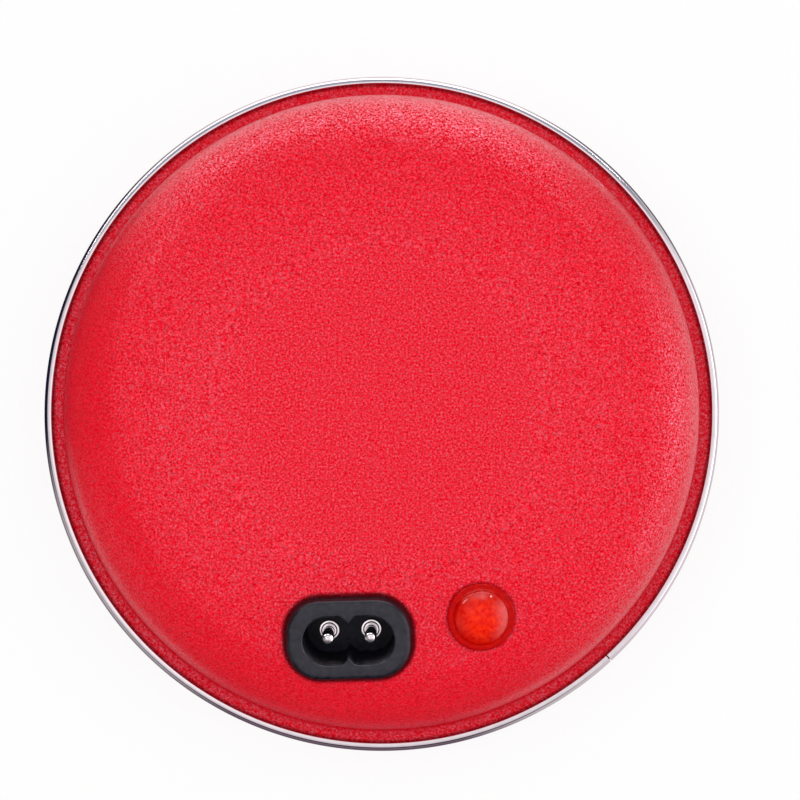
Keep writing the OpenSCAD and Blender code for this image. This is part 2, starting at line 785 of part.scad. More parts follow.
module contact_terminal() {
    foot = guide_top + seat_gap;
    color("goldenrod") at_thermostat() {
        blade(1, foot);
        translate([contact_x - contact_d / 2, -foot_w / 2, foot])
            cube([blade_x - contact_x + contact_d / 2, foot_w, foot_t]);
    }
}

module bay_screw(x, y, under_head) {
    translate([x, bay_y, mid + y]) rotate([90, 0, 0]) {
        translate([0, 0, under_head]) cylinder(d = screw_head_d, h = screw_head_t);
        translate([0, 0, -bracket_t]) cylinder(d = screw_d, h = under_head + bracket_t + skin);
    }
}

module thermostat_screws() {
    color("silver") for (side = [-1, 1])
        bay_screw(thermostat_x + side * screw_pitch / 2, thermostat_y, ear_t);
}

// Thermal fuse, along x on the bracket

fuse_x = -6;
fuse_y = 8;
fuse_d = 4;
fuse_len = 11;
sleeve_d = 5.4;
sleeve_len = 15;
fuse_wire_d = 1;
clip_t = 0.6;
clip_w = 5;
clip_foot = 3;
fuse_out = seat_gap + sleeve_d / 2;

module at_fuse() {
    translate([fuse_x, bay_y - fuse_out, mid + fuse_y]) rotate([0, 90, 0]) children();
}

module thermal_fuse() {
    color("silver") at_fuse() {
        cylinder(d = fuse_d, h = fuse_len, center = true);
        cylinder(d = fuse_wire_d, h = sleeve_len + 2 * fuse_wire_d, center = true);
    }
}

module fuse_sleeve() {
    color("linen") at_fuse() difference() {
        cylinder(d = sleeve_d, h = sleeve_len, center = true);
        cylinder(d = fuse_d + 2 * seat_gap, h = sleeve_len + 2 * cut, center = true);
    }
}

module fuse_clip() {
    hoop_r = sleeve_d / 2 + seat_gap;
    out_r = hoop_r + clip_t;
    color("slategray") at_fuse() translate([0, 0, -clip_w / 2]) difference() {
        union() {
            cylinder(r = out_r, h = clip_w);
            translate([-out_r, 0, 0]) cube([2 * out_r, fuse_out, clip_w]);
            translate([-out_r - clip_foot, fuse_out - clip_t, 0])
                cube([2 * (out_r + clip_foot), clip_t, clip_w]);
        }
        translate([0, 0, -cut]) cylinder(r = hoop_r, h = clip_w + 2 * cut);
        translate([-hoop_r, 0, -cut]) cube([2 * hoop_r, out_r + cut, clip_w + 2 * cut]);
        translate([-out_r - cut, fuse_out, -cut])
            cube([2 * (out_r + cut), out_r, clip_w + 2 * cut]);
    }
}

// Terminal block: its own frame is the thermostat's, at another place

lamp_room = 4.6;       // between the lamp's foot and the block's top
terminal_x = 22;
terminal_w = 24;
terminal_h = 12;
terminal_deep = 12;
terminal_y = fitting_point(lamp_place, [electrode_gap / 2, 0, resistor_top - resistor_len]).z
    - mid - lamp_room - terminal_h / 2;
way_pitch = 14;
way_z = 6;
insert_w = 4;
insert_len = 10;
insert_bore = 2.4;
wire_screw_d = 2.6;
wire_screw_pitch = 6;
wire_screw_len = 3.4;
wire_screw_sunk = 1.1;
wire_screw_head_d = 3.2;
wire_screw_head_t = 1.7;
way_gap = 0.1;

module at_terminals() {
    translate([terminal_x, bay_y, mid + terminal_y]) rotate([90, 0, 0]) children();
}

module at_ways() {
    for (side = [-1, 1]) translate([side * way_pitch / 2, 0, way_z]) children();
}

module terminal_block() {
    color("ivory") at_terminals() difference() {
        translate([-terminal_w / 2, -terminal_h / 2, 0])
            cube([terminal_w, terminal_h, terminal_deep]);
        at_ways() {
            translate([0, 0, 0])
                cube([insert_w + 2 * way_gap, terminal_h + 2 * cut, insert_w + 2 * way_gap],
                    center = true);
            for (side = [-1, 1]) translate([0, side * wire_screw_pitch / 2, 0])
                cylinder(d = wire_screw_head_d + 2 * fit_gap, h = terminal_deep);
        }
        translate([0, 0, -cut]) cylinder(d = screw_d + 2 * fit_gap, h = terminal_deep + 2 * cut);
        translate([0, 0, terminal_deep - screw_head_t])
            cylinder(d = screw_head_d + 2 * fit_gap, h = screw_head_t + cut);
    }
}

module terminal_inserts() {
    color("goldenrod") at_terminals() at_ways() difference() {
        cube([insert_w, insert_len, insert_w], center = true);
        rotate([90, 0, 0]) cylinder(d = insert_bore, h = insert_len + 2 * cut, center = true);
        for (side = [-1, 1]) translate([0, side * wire_screw_pitch / 2, 0])
            cylinder(d = wire_screw_d + 2 * seat_gap, h = insert_w);
    }
}

module terminal_screws() {
    color("silver") at_terminals() at_ways()
        for (side = [-1, 1]) translate([0, side * wire_screw_pitch / 2, insert_w / 2]) {
            translate([0, 0, seat_gap - wire_screw_sunk])
                cylinder(d = wire_screw_d, h = wire_screw_len);
            translate([0, 0, wire_screw_sunk])
                cylinder(d = wire_screw_head_d, h = wire_screw_head_t);
        }
}

module block_screw() {
    color("silver") bay_screw(terminal_x, terminal_y, terminal_deep - screw_head_t);
}

// Leads

lead_r = 1.2;
thin_r = 0.7;
lug_foot = -inlet_body_depth - lug_len - seat_gap;
blade_y = bay_y - blade_top - seat_gap;
way_y = bay_y - way_z;
way_top = mid + terminal_y + terminal_h / 2 + seat_gap;
way_foot = mid + terminal_y - terminal_h / 2 - seat_gap;
way_side = 1.3;
way_rise = 9;          // how far a lead's curve reaches over a way, and under one
way_drop = 5;
tail_drop = mid - way_foot;
deep_out = 11;         // how far the element's leads reach out from their tails
near_out = 7;
deep_rise = 10;        // and how they rise into the ways from below
near_rise = 8;
tail_up = [0, 1, 0.3];
dip_share = 0.45;      // how far a lead hangs under its way, of its rise
lead_low = way_foot - dip_share * deep_rise - thin_r;
fuse_half = sleeve_len / 2 + fuse_wire_d;

module lead_live() {
    color("firebrick") lead(
        fitting_point(inlet_place, [-pin_pitch / 2, 0, lug_foot]),
        lug_len * fitting_in(inlet_place), [0, -lug_len, 0],
        [thermostat_x + blade_x, blade_y, mid + thermostat_y], lead_r, [0, 1, 1]);
}

module lead_neutral() {
    color("royalblue") lead(
        fitting_point(inlet_place, [pin_pitch / 2, 0, lug_foot]),
        lug_len * fitting_in(inlet_place), [0, 0, way_rise],
        [terminal_x - way_pitch / 2, way_y - way_side, way_top], lead_r, [0, 1, 0]);
}

module lead_thermostat() {
    color("firebrick") lead(
        [thermostat_x - blade_x, blade_y + lead_r + blade_t,
            mid + thermostat_y + blade_w / 2 + seat_gap],
        [0, 0, way_rise], [-way_pitch, 0, 0],
        [fuse_x - fuse_half - seat_gap, bay_y - fuse_out, mid + fuse_y], lead_r, [0, 1, 0]);
}

module lead_fuse() {
    color("firebrick") lead(
        [fuse_x + fuse_half + seat_gap, bay_y - fuse_out, mid + fuse_y],
        [way_pitch, 0, 0], [0, 0, way_rise],
        [terminal_x + way_pitch / 2, way_y + way_side, way_top], lead_r, [0, 1, 0]);
}

module element_leads() {
    tail_end = bay_y - tail_out - thin_r / 2 - seat_gap;
    color("linen") {
        lead([tail_x[0], tail_end, mid], [0, -deep_out, -tail_drop], [0, 0, -deep_rise],
            [terminal_x + way_pitch / 2, way_y, way_foot], thin_r, tail_up);
        lead([tail_x[1], tail_end, mid], [0, -near_out, -tail_drop], [0, 0, -near_rise],
            [terminal_x - way_pitch / 2, way_y, way_foot], thin_r, tail_up);
    }
}

module lamp_leads() {
    color("salmon") {
        lead(fitting_point(lamp_place, [-electrode_gap / 2, 0, bulb_foot - seat_gap]),
            way_drop * fitting_in(lamp_place), [0, 0, way_drop],
            [terminal_x - way_pitch / 2, way_y + way_side, way_top], thin_r, [0, 1, 0]);
        lead(fitting_point(lamp_place,
            [electrode_gap / 2, 0, resistor_top - resistor_len - seat_gap]),
            resistor_len * fitting_in(lamp_place), [0, 0, resistor_len],
            [terminal_x + way_pitch / 2, way_y - way_side, way_top], thin_r, [0, 1, 0]);
    }
}

front_shell();
back_shell();
clamp_ring();
ring_splice();
rim_gasket();
inlet_housing();
inlet_pins();
inlet_retainer();
lamp_lens();
lamp_push_nut();
neon_bulb();
lamp_electrodes();
lamp_resistor();
storage_block_front();
storage_block_back();
mica_front();
mica_back();
heating_element();
core_bolt();
core_nut();
core_washers();
core_bracket();
felt_front();
felt_back();
felt_side();
thermostat_bracket();
thermostat_cap();
thermostat_guide();
thermostat_base();
bimetal_disc();
transfer_pin();
contact_arm();
moving_contact();
fixed_contact();
arm_terminal();
contact_terminal();
thermostat_screws();
thermal_fuse();
fuse_sleeve();
fuse_clip();
terminal_block();
terminal_inserts();
terminal_screws();
block_screw();
lead_live();
lead_neutral();
lead_thermostat();
lead_fuse();
element_leads();
lamp_leads();
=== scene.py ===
"""Looks of a round mains-charged hand warmer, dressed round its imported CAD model. Metres."""

import json
import math

import bpy
from mathutils import Matrix, Vector


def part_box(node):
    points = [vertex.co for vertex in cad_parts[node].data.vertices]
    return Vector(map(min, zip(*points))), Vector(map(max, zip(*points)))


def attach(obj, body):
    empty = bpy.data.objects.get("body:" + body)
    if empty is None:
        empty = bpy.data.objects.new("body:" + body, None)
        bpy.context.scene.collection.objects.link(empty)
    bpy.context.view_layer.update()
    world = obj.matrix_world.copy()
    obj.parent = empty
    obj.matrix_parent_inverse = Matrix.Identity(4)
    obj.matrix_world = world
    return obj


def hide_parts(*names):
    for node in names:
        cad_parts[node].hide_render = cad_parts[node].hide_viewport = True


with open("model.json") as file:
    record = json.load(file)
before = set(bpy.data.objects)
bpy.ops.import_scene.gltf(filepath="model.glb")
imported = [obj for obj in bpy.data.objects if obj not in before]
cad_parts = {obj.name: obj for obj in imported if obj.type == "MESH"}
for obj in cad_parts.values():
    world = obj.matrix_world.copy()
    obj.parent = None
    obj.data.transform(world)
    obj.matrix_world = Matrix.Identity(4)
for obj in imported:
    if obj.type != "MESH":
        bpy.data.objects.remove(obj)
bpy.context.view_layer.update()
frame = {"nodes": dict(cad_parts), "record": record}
MM = 0.001
CASE = "case"

# Sizes of the outside

# From the CAD boxes where they give them, else as in the part. Lengths are in mm and angles in
# degrees, except on the stage at the end, which is in metres.
RIM_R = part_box("clamp_ring")[1][0] / MM
FLANGE_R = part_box("back_shell")[1][0] / MM
MID = (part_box("clamp_ring")[0][2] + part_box("clamp_ring")[1][2]) / 2 / MM
HALF_H = MID

# Domes: sheet, crown, shoulder, wall and root of the pressed shape, and its flange
SHEET = 0.6
CROWN_R = 147.0
CROWN_SLOPE = 10.5
SHOULDER_R = 15.8
WALL_DRAFT = 3.0
ROOT_R = 1.2
FLANGE_W = 4.15
FLANGE_UNDER = 1.6
FLANGE_TOP = FLANGE_UNDER + SHEET

# Clamp ring: sheet, play over the flange, rolled bead and how far the lip reaches inward
RING_SHEET, SEAT_GAP, BEAD_R, LIP_REACH = 0.5, 0.05, 0.8, 2.0
# Its section from the lip outward: bends of (width, slope before, slope after), then the flank
LIP_EDGE, FLANK_START, FLANK_END = 0.15, 64.0, 84.0
LIP_BENDS = ((0.40, 3.0, 6.5), (0.30, 6.5, 13.0), (0.28, 13.0, FLANK_START))
SPLIT_AZ, SPLIT_GAP = 312.4, 0.3

# Inlet: width, height and corner of the bezel and of the body behind it
BEZEL = (25.4, 16.6, 7.2)
BEZEL_RISE, BEZEL_T = 0.15, 2.5
BODY = (21.6, 12.8, 5.4)
BODY_DEPTH, HOLE_GAP = 12.0, 0.2
# Rounded edges: the body's back, the bezel's front and the socket's mouth
BODY_EDGE, BEZEL_EDGE, MOUTH_EDGE = 0.5, 1.0, 0.4
# The bezel's chamfer at the seat (in, up), and its tapering side above it: (inset, height)
BEZEL_FOOT, BEZEL_SIDE, BEZEL_TAPER = (0.3, 0.15), ((0.0, 0.5), (0.15, 1.1)), 0.3

# Socket, with a ridge in the middle of each long side, and the pins in it
PIN_PITCH, LOBE_R, SOCKET_DEPTH = 8.6, 4.85, 12.0
SOCKET_DRAFT, SOCKET_FILLET = 0.03, 0.3
RIDGE_H, RIDGE_W = 1.5, 3.2
# The ridge's blunt tip: its share of the width, how far it swells, and the bow of the sides
TIP_SHARE, TIP_SWELL, SIDE_BOW = 0.22, 0.162, 1.25
SOCKET_FLOOR = BEZEL_T - SOCKET_DEPTH
COLLAR_D, COLLAR_T, PIN_D, PIN_LEN = 4.1, 0.8, 2.4, 9.6
# Widths of the collar's outer and inner band; the rounding at the collar's edge and the pin's tip
COLLAR_BANDS, GROOVE_DEPTH, COLLAR_EDGE = (0.36, 0.20), 0.4, 0.06
PIN_EDGE, PIN_TURN, TIP_H = 0.25, 52, 0.62
LUG_W, LUG_T, LUG_LEN, PIN_REAR, BORE_PLAY = 3.2, 0.8, 6.5, 1.0, 0.05

# Lamp, and the bends of its dome: share of the dome's radius, slope before, slope after
LENS_RIM_D, LENS_RIM_T, LENS_STEM_D, STEM_LEN = 13.6, 1.0, 9.6, 9.0
LENS_DOME_D, LENS_DOME_H, LENS_WALL, LENS_EDGE = 11.0, 2.6, 1.1, 0.35
LENS_BENDS = ((0.473, 0, 20), (0.91, 20, 34), (1.0, 34, 74))

# Pressed seats: how far the flat reaches past the fitting, where its blend ends, its depth
INLET_SEAT, LAMP_SEAT = (0.35, 2.2, 0.2), (0.2, 1.6, 0.15)
SEAT_PLAY = 0.04


def rad(a):
    return math.radians(a)


def cosd(a):
    return math.cos(rad(a))


def sind(a):
    return math.sin(rad(a))


FOOT_R = FLANGE_R - FLANGE_W
SHOULDER_Y = HALF_H - CROWN_R * (1 - cosd(CROWN_SLOPE)) - SHOULDER_R * cosd(CROWN_SLOPE)
WALL_TOP_Y = SHOULDER_Y + SHOULDER_R * sind(WALL_DRAFT)
WALL_TOP_R = FOOT_R - (WALL_TOP_Y - FLANGE_TOP) * math.tan(rad(WALL_DRAFT))
SHOULDER_C = (WALL_TOP_R - SHOULDER_R * cosd(WALL_DRAFT), SHOULDER_Y)
CROWN_END = SHOULDER_C[0] + SHOULDER_R * sind(CROWN_SLOPE)
FLAT_R = CROWN_END - CROWN_R * sind(CROWN_SLOPE)
CROWN_C = (FLAT_R, HALF_H - CROWN_R)
ROOT_C = (FOOT_R + ROOT_R / cosd(WALL_DRAFT) - ROOT_R * math.tan(rad(WALL_DRAFT)),
          FLANGE_TOP + ROOT_R)


def arc(c, r, a0, a1, n):
    """Points of an arc round c, both ends included."""
    return [(c[0] + r * cosd(a0 + (a1 - a0) * i / n), c[1] + r * sind(a0 + (a1 - a0) * i / n))
            for i in range(n + 1)]


def between(a, b, n):
    """The points that divide a straight line into n parts, without its ends."""
    return [(a[0] + (b[0] - a[0]) * i / n, a[1] + (b[1] - a[1]) * i / n) for i in range(1, n)]


def bent(points, width, slope0, slope1, n):
    """Adds an arc of the given width that falls from one slope to the other, outward."""
    r, z = points[-1]
    bend = width / (sind(slope1) - sind(slope0))
    points += arc((r - bend * sind(slope0), z - bend * cosd(slope0)), bend,
                  90 - slope0, 90 - slope1, n)[1:]


def dome_y(r):
    """Height of the dome's outside above the rim's plane, crown and shoulder."""
    if r < CROWN_END:
        return CROWN_C[1] + math.sqrt(CROWN_R ** 2 - max(r - FLAT_R, 0) ** 2)
    return SHOULDER_C[1] + math.sqrt(SHOULDER_R ** 2 - (r - SHOULDER_C[0]) ** 2)


def dome_slope(r):
    return math.degrees(math.asin((r - FLAT_R) / CROWN_R))


# Places of the inlet and the lamp on the dome: direction, distance from the middle, turn

INLET = (261.7, RIM_R - 24.7, 1.5)
LAMP = (295.2, RIM_R - 25.1, 0.0)


def place_matrix(place):
    """The frame of a fitting: on the dome's outside, with its axis square to the dome."""
    az, r, turn = place
    foot = Vector((r * cosd(az), r * sind(az), MID + dome_y(r)))
    lean = Matrix.Rotation(rad(dome_slope(r)), 4, Vector((-sind(az), cosd(az), 0)))
    return Matrix.Translation(foot) @ lean @ Matrix.Rotation(rad(turn), 4, "Z")


INLET_AT, LAMP_AT = place_matrix(INLET), place_matrix(LAMP)


# Mesh helpers: points in mm, in a piece's own frame, which a matrix puts into the part's

def new_object(name, data):
    o = bpy.data.objects.new(name, data)
    bpy.context.scene.collection.objects.link(o)
    return o


def piece(name, verts, faces, matrix=None, sharp=32.0):
    mesh = bpy.data.meshes.new(name)
    m = matrix or Matrix.Identity(4)
    mesh.from_pydata([(m @ Vector(v)) * MM for v in verts], [], faces)
    mesh.validate()
    finish_mesh(mesh, sharp)
    return new_object(name, mesh)


def finish_mesh(mesh, sharp):
    mesh.polygons.foreach_set("use_smooth", [True] * len(mesh.polygons))
    mesh.set_sharp_from_angle(angle=rad(sharp))
    mesh.update()


def lathe(profile, steps, a0=0.0, a1=360.0, loop=False):
    """Faces of a turned form. The profile is (r, z); r = 0 makes a pole; loop closes it."""
    full = abs(a1 - a0 - 360) < 1e-9
    cols = steps if full else steps + 1
    turns = [a0 + (a1 - a0) * k / steps for k in range(cols)]
    verts, rows = [], []
    for r, z in profile:
        if r < 1e-9:
            rows.append([len(verts)] * cols)
            verts.append((0, 0, z))
        else:
            rows.append(list(range(len(verts), len(verts) + cols)))
            verts += [(r * cosd(a), r * sind(a), z) for a in turns]
    faces = []
    pairs = list(zip(rows, rows[1:] + ([rows[0]] if loop else [])))
    for lo, hi in pairs[:len(rows) if loop else len(rows) - 1]:
        for k in range(steps):
            k2 = (k + 1) % cols
            quad = [lo[k], lo[k2], hi[k2], hi[k]]
            quad = [v for i, v in enumerate(quad) if v not in quad[:i]]
            if len(quad) > 2:
                faces.append(quad)
    if loop and not full:
        faces.append([row[0] for row in rows])
        faces.append([row[-1] for row in reversed(rows)])
    return verts, faces


def loft(rings, caps=True):
    """Faces through a stack of rings with as many points each, wound alike."""
    n = len(rings[0])
    verts = [p for ring in rings for p in ring]
    faces = [[i * n + k, i * n + (k + 1) % n, (i + 1) * n + (k + 1) % n, (i + 1) * n + k]
             for i in range(len(rings) - 1) for k in range(n)]
    if caps:
        faces += [list(range(n - 1, -1, -1)), [(len(rings) - 1) * n + k for k in range(n)]]
    return verts, faces


def rod(r, z0, z1, steps):
    return lathe([(0, z0), (r, z0), (r, z1), (0, z1)], steps)


def joined(parts):
    verts, faces = [], []
    for v, f in parts:
        base = len(verts)
        verts += v
        faces += [[base + i for i in face] for face in f]
    return verts, faces


def moved(part, dx=0.0, dz=0.0):
    return [(x + dx, y, z + dz) for x, y, z in part[0]], part[1]


def cut_away(target, *cutters, sharp=32.0):
    """Takes the cutters' volume out of a piece, then deletes the cutters."""
    for c in cutters:
        mod = target.modifiers.new("cut", "BOOLEAN")
        mod.operation, mod.solver, mod.object = "DIFFERENCE", "EXACT", c
    dg = bpy.context.evaluated_depsgraph_get()
    dg.update()
    new = bpy.data.meshes.new_from_object(target.evaluated_get(dg))
    target.modifiers.clear()
    old, target.data = target.data, new
    new.name = target.name
    bpy.data.meshes.remove(old)
    for c in cutters:
        bpy.data.objects.remove(c)
    finish_mesh(new, sharp)


def dress(o, slot, *nodes):
    """Gives a piece its finish, lets it ride on the case and stand for its CAD nodes."""
    o.data.materials.clear()
    o.data.materials.append(MATERIALS[slot])
    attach(o, CASE)
    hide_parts(*nodes)


# Outlines

def rounded_rect(w, h, r, n=10):
    pts = []
    for cx, cy, a in ((w / 2 - r, h / 2 - r, 0), (r - w / 2, h / 2 - r, 90),
                      (r - w / 2, r - h / 2, 180), (w / 2 - r, r - h / 2, 270)):
        pts += arc((cx, cy), r, a, a + 90, n)
    return pts


def by_angle(outline, angles):
    """The outline's points in the given directions from the middle."""
    out = []
    n = len(outline)
    for a in angles:
        d = (math.cos(a), math.sin(a))
        best = None
        for k in range(n):
            (x0, y0), (x1, y1) = outline[k], outline[(k + 1) % n]
            ex, ey = x1 - x0, y1 - y0
            det = d[0] * -ey + d[1] * ex
            if abs(det) < 1e-12:
                continue
            t = (x0 * -ey + y0 * ex) / det
            u = (d[0] * y0 - d[1] * x0) / det
            if t > 0 and -1e-9 <= u <= 1 + 1e-9 and (best is None or t > best):
                best = t
        out.append((d[0] * best, d[1] * best))
    return out


def offset(outline, by):
    """The outline moved outward, or inward where by is less than nothing."""
    out = []
    n = len(outline)
    for k in range(n):
        (x0, y0), (x1, y1) = outline[k - 1], outline[(k + 1) % n]
        ex, ey = x1 - x0, y1 - y0
        e = math.hypot(ex, ey)
        out.append((outline[k][0] + by * ey / e, outline[k][1] - by * ex / e))
    return out


# Materials

def nodes_of(name):
    """A new material, its node tree and its shader."""
    m = bpy.data.materials.new(name)
    m.use_nodes = True
    nt = m.node_tree
    return m, nt, nt.nodes["Principled BSDF"]


def add(nt, kind, inputs=(), **props):
    """A node; an input is a value or the socket that feeds it."""
    node = nt.nodes.new(kind)
    for k, v in props.items():
        setattr(node, k, v)
    for k, v in dict(inputs).items():
        if isinstance(v, bpy.types.NodeSocket):
            nt.links.new(v, node.inputs[k])
        else:
            node.inputs[k].default_value = v
    return node


def noise(nt, scale, detail=3.0, rough=0.55, distortion=0.0):
    co = add(nt, "ShaderNodeTexCoord")
    return add(nt, "ShaderNodeTexNoise", {
        "Vector": co.outputs["Object"], "Scale": scale, "Detail": detail,
        "Roughness": rough, "Distortion": distortion})


def ramp(nt, fac, stops):
    node = add(nt, "ShaderNodeValToRGB", {"Fac": fac})
    els = node.color_ramp.elements
    els[0].position, els[0].color = stops[0][0], (*stops[0][1], 1)
    els[1].position, els[1].color = stops[-1][0], (*stops[-1][1], 1)
    for pos, col in stops[1:-1]:
        els.new(pos).color = (*col, 1)
    return node.outputs["Color"]


def spread(nt, fac, low, high):
    """From low to high while the factor goes from 0 to 1."""
    return add(nt, "ShaderNodeMapRange", {"Value": fac, "To Min": low, "To Max": high}
               ).outputs["Result"]


def bump(nt, height, strength, distance):
    return add(nt, "ShaderNodeBump", {"Height": height, "Strength": strength,
                                      "Distance": distance}).outputs["Normal"]


def simple(name, dark, light, rough, metal=0.0, grain=700.0, dent=0.15, spread_by=0.08, **more):
    """A procedural finish: mottled colour, uneven gloss and a fine relief."""
    m, nt, bsdf = nodes_of(name)
    fine = noise(nt, grain, 4.0)
    broad = noise(nt, grain / 9, 3.0)
    nt.links.new(ramp(nt, fine.outputs["Fac"], [(0.3, dark), (0.7, light)]),
                 bsdf.inputs["Base Color"])
    nt.links.new(spread(nt, broad.outputs["Fac"], rough - spread_by, rough + spread_by),
                 bsdf.inputs["Roughness"])
    nt.links.new(bump(nt, fine.outputs["Fac"], dent, 0.05 * MM), bsdf.inputs["Normal"])
    bsdf.inputs["Metallic"].default_value = metal
    for k, v in more.items():
        bsdf.inputs[k.replace("_", " ")].default_value = v
    return m


def maths(nt, operation, *values):
    return add(nt, "ShaderNodeMath", dict(enumerate(values)), operation=operation).outputs[0]


def vector(nt, operation, *values):
    """A vector sum; LENGTH gives a number."""
    node = add(nt, "ShaderNodeVectorMath", dict(enumerate(values)), operation=operation)
    return node.outputs["Value" if operation == "LENGTH" else "Vector"]


def fitting_point(nt, place, rise=0.0):
    """The point in the frame of a fitting, in metres."""
    m = place_matrix(place)
    foot = m @ Vector((0, rise, 0))
    co = add(nt, "ShaderNodeTexCoord")
    return add(nt, "ShaderNodeMapping", {
        "Vector": co.outputs["Object"], "Location": foot * MM,
        "Rotation": m.to_euler()}, vector_type="TEXTURE").outputs["Vector"]


def outline_gap(nt, point, w, h, r):
    """Distance from a rounded rectangle's outline; height counts a little too."""
    flat = vector(nt, "MULTIPLY", point, (1, 1, 0.3))
    past = vector(nt, "SUBTRACT", vector(nt, "ABSOLUTE", flat),
                  ((w / 2 - r) * MM, (h / 2 - r) * MM, 0))
    return maths(nt, "SUBTRACT", vector(nt, "LENGTH", vector(nt, "MAXIMUM", past, (0, 0, 0))),
                 r * MM)


def fading(nt, value, start, end, low, high):
    """From low to high, gently, while the value goes from start to end, in mm."""
    return add(nt, "ShaderNodeMapRange", {
        "Value": value, "From Min": start * MM, "From Max": end * MM,
        "To Min": low, "To Max": high}, interpolation_type="SMOOTHSTEP").outputs["Result"]


# Painted shade in the seams of the paint, round the inlet and the lens, under the clamp ring's
# lip and at the dome's foot:
# the span over which the light fades, and the light before and after it. The spans are counted
# from a fitting's outline, then from the part's axis
INLET_PAINTED_SHADE, LAMP_PAINTED_SHADE = (0.30, 1.20, 0.14, 1.0), (0.05, 0.60, 0.66, 1.0)
LIP_R = RIM_R - LIP_REACH
LIP_PAINTED_SHADE, FOOT_PAINTED_SHADE = (LIP_R - 0.85, LIP_R, 1.0, 0.46), (FOOT_R - 0.9, FOOT_R + 0.6, 1.0, 0.88)


def painted_seam_shade(nt):
    """Painted shade: 1 on the open paint, less in the seams round the inlet, the lens and the
    clamp ring, where shade falls.
    """
    inlet = outline_gap(nt, fitting_point(nt, INLET, BEZEL_RISE), *BEZEL)
    lamp = outline_gap(nt, fitting_point(nt, LAMP), LENS_RIM_D, LENS_RIM_D, LENS_RIM_D / 2)
    co = add(nt, "ShaderNodeTexCoord")
    radius = vector(nt, "LENGTH", vector(nt, "MULTIPLY", co.outputs["Object"], (1, 1, 0)))
    fittings = maths(nt, "MULTIPLY", fading(nt, inlet, *INLET_PAINTED_SHADE),
                     fading(nt, lamp, *LAMP_PAINTED_SHADE))
    ring = maths(nt, "MULTIPLY", fading(nt, radius, *LIP_PAINTED_SHADE), fading(nt, radius, *FOOT_PAINTED_SHADE))
    return maths(nt, "MULTIPLY", fittings, ring)


# Lacquer: noise scales of its specks, flakes and clouds. A flake shines with the square of its
# noise above a level
SPECK_SCALE, FLAKE_SCALE, CLOUD_SCALE = 2500, 2300, 260
FLAKE_LEVEL, FLAKE_GAIN, FLAKE_IOR = 0.33, 6.1, 1.7


def red_paint():
    """Red lacquer with fine metal flakes, darkened and dulled by painted shade in its seams."""
    m, nt, bsdf = nodes_of("red_lacquer")
    speck = noise(nt, SPECK_SCALE, 2.0, 0.5)
    flakes = noise(nt, FLAKE_SCALE, 2.0, 0.6, 0.4)
    cloud = noise(nt, CLOUD_SCALE, 2.0)
    light = painted_seam_shade(nt)
    tint = ramp(nt, speck.outputs["Fac"], [
        (0.30, (0.57, 0.001, 0.007)), (0.50, (0.75, 0.003, 0.015)),
        (0.70, (0.94, 0.010, 0.030))])
    # Painted shade: the seams' shade darkens the lacquer's colour here and its shine below
    nt.links.new(vector(nt, "MULTIPLY", tint, light), bsdf.inputs["Base Color"])
    flake = maths(nt, "MAXIMUM", maths(nt, "SUBTRACT", flakes.outputs["Fac"], FLAKE_LEVEL), 0.0)
    gloss = maths(nt, "MULTIPLY", maths(nt, "MULTIPLY", flake, flake), FLAKE_GAIN)
    nt.links.new(maths(nt, "MULTIPLY", gloss, light), bsdf.inputs["Specular IOR Level"])
    bsdf.inputs["IOR"].default_value = FLAKE_IOR
    bsdf.inputs["Specular Tint"].default_value = (0.50, 0.76, 0.98, 1)
    nt.links.new(spread(nt, cloud.outputs["Fac"], 0.27, 0.33), bsdf.inputs["Roughness"])
    nt.links.new(bump(nt, speck.outputs["Fac"], 0.45, 0.10 * MM), bsdf.inputs["Normal"])
    return m


# Gloss of the lens out from its axis: dull in the middle and past the dome
LENS_GLOSS = ((2.2, 4.2, 0.08, 0.40),
              (LENS_DOME_D / 2 - 0.8, LENS_DOME_D / 2 + 0.2, 1.0, 0.12))


def lens_red():
    """Clear red, with painted light and shade: its rim darkened by painted shade, its middle over
    the bulb brightened by painted light that stands in for light passing through the lens.
    """
    m, nt, bsdf = nodes_of("lamp_lens_red")
    haze = noise(nt, 420, 3.0)
    off = vector(nt, "LENGTH", vector(nt, "MULTIPLY", fitting_point(nt, LAMP), (1, 1, 0)))
    # Painted light and shade: the share of the bright middle against the painted shade of the rim
    inner = fading(nt, off, LENS_DOME_D * 0.2, LENS_RIM_D / 2, 1.0, 0.0)
    fleck = noise(nt, 1100, 3.0)
    mottle = maths(nt, "MULTIPLY", spread(nt, fleck.outputs["Fac"], 0.55, 1.40),
                   spread(nt, haze.outputs["Fac"], 0.88, 1.06))
    body = add(nt, "ShaderNodeMix", {
        "Factor": inner, "A": vector(nt, "MULTIPLY", (0.55, 0.0, 0.0005), mottle),
        "B": ramp(nt, fleck.outputs["Fac"], [(0.36, (0.80, 0.003, 0.001)),
                                             (0.64, (1.0, 0.030, 0.004))])}, data_type="RGBA")
    nt.links.new(body.outputs["Result"], bsdf.inputs["Base Color"])
    nt.links.new(spread(nt, haze.outputs["Fac"], 0.05, 0.11), bsdf.inputs["Roughness"])
    nt.links.new(bump(nt, fleck.outputs["Fac"], 0.12, 0.04 * MM), bsdf.inputs["Normal"])
    gloss = maths(nt, "MULTIPLY", *[fading(nt, off, *band) for band in LENS_GLOSS])
    nt.links.new(gloss, bsdf.inputs["Specular IOR Level"])
    bsdf.inputs["Transmission Weight"].default_value = 0.08
    bsdf.inputs["IOR"].default_value = 1.49
    return m


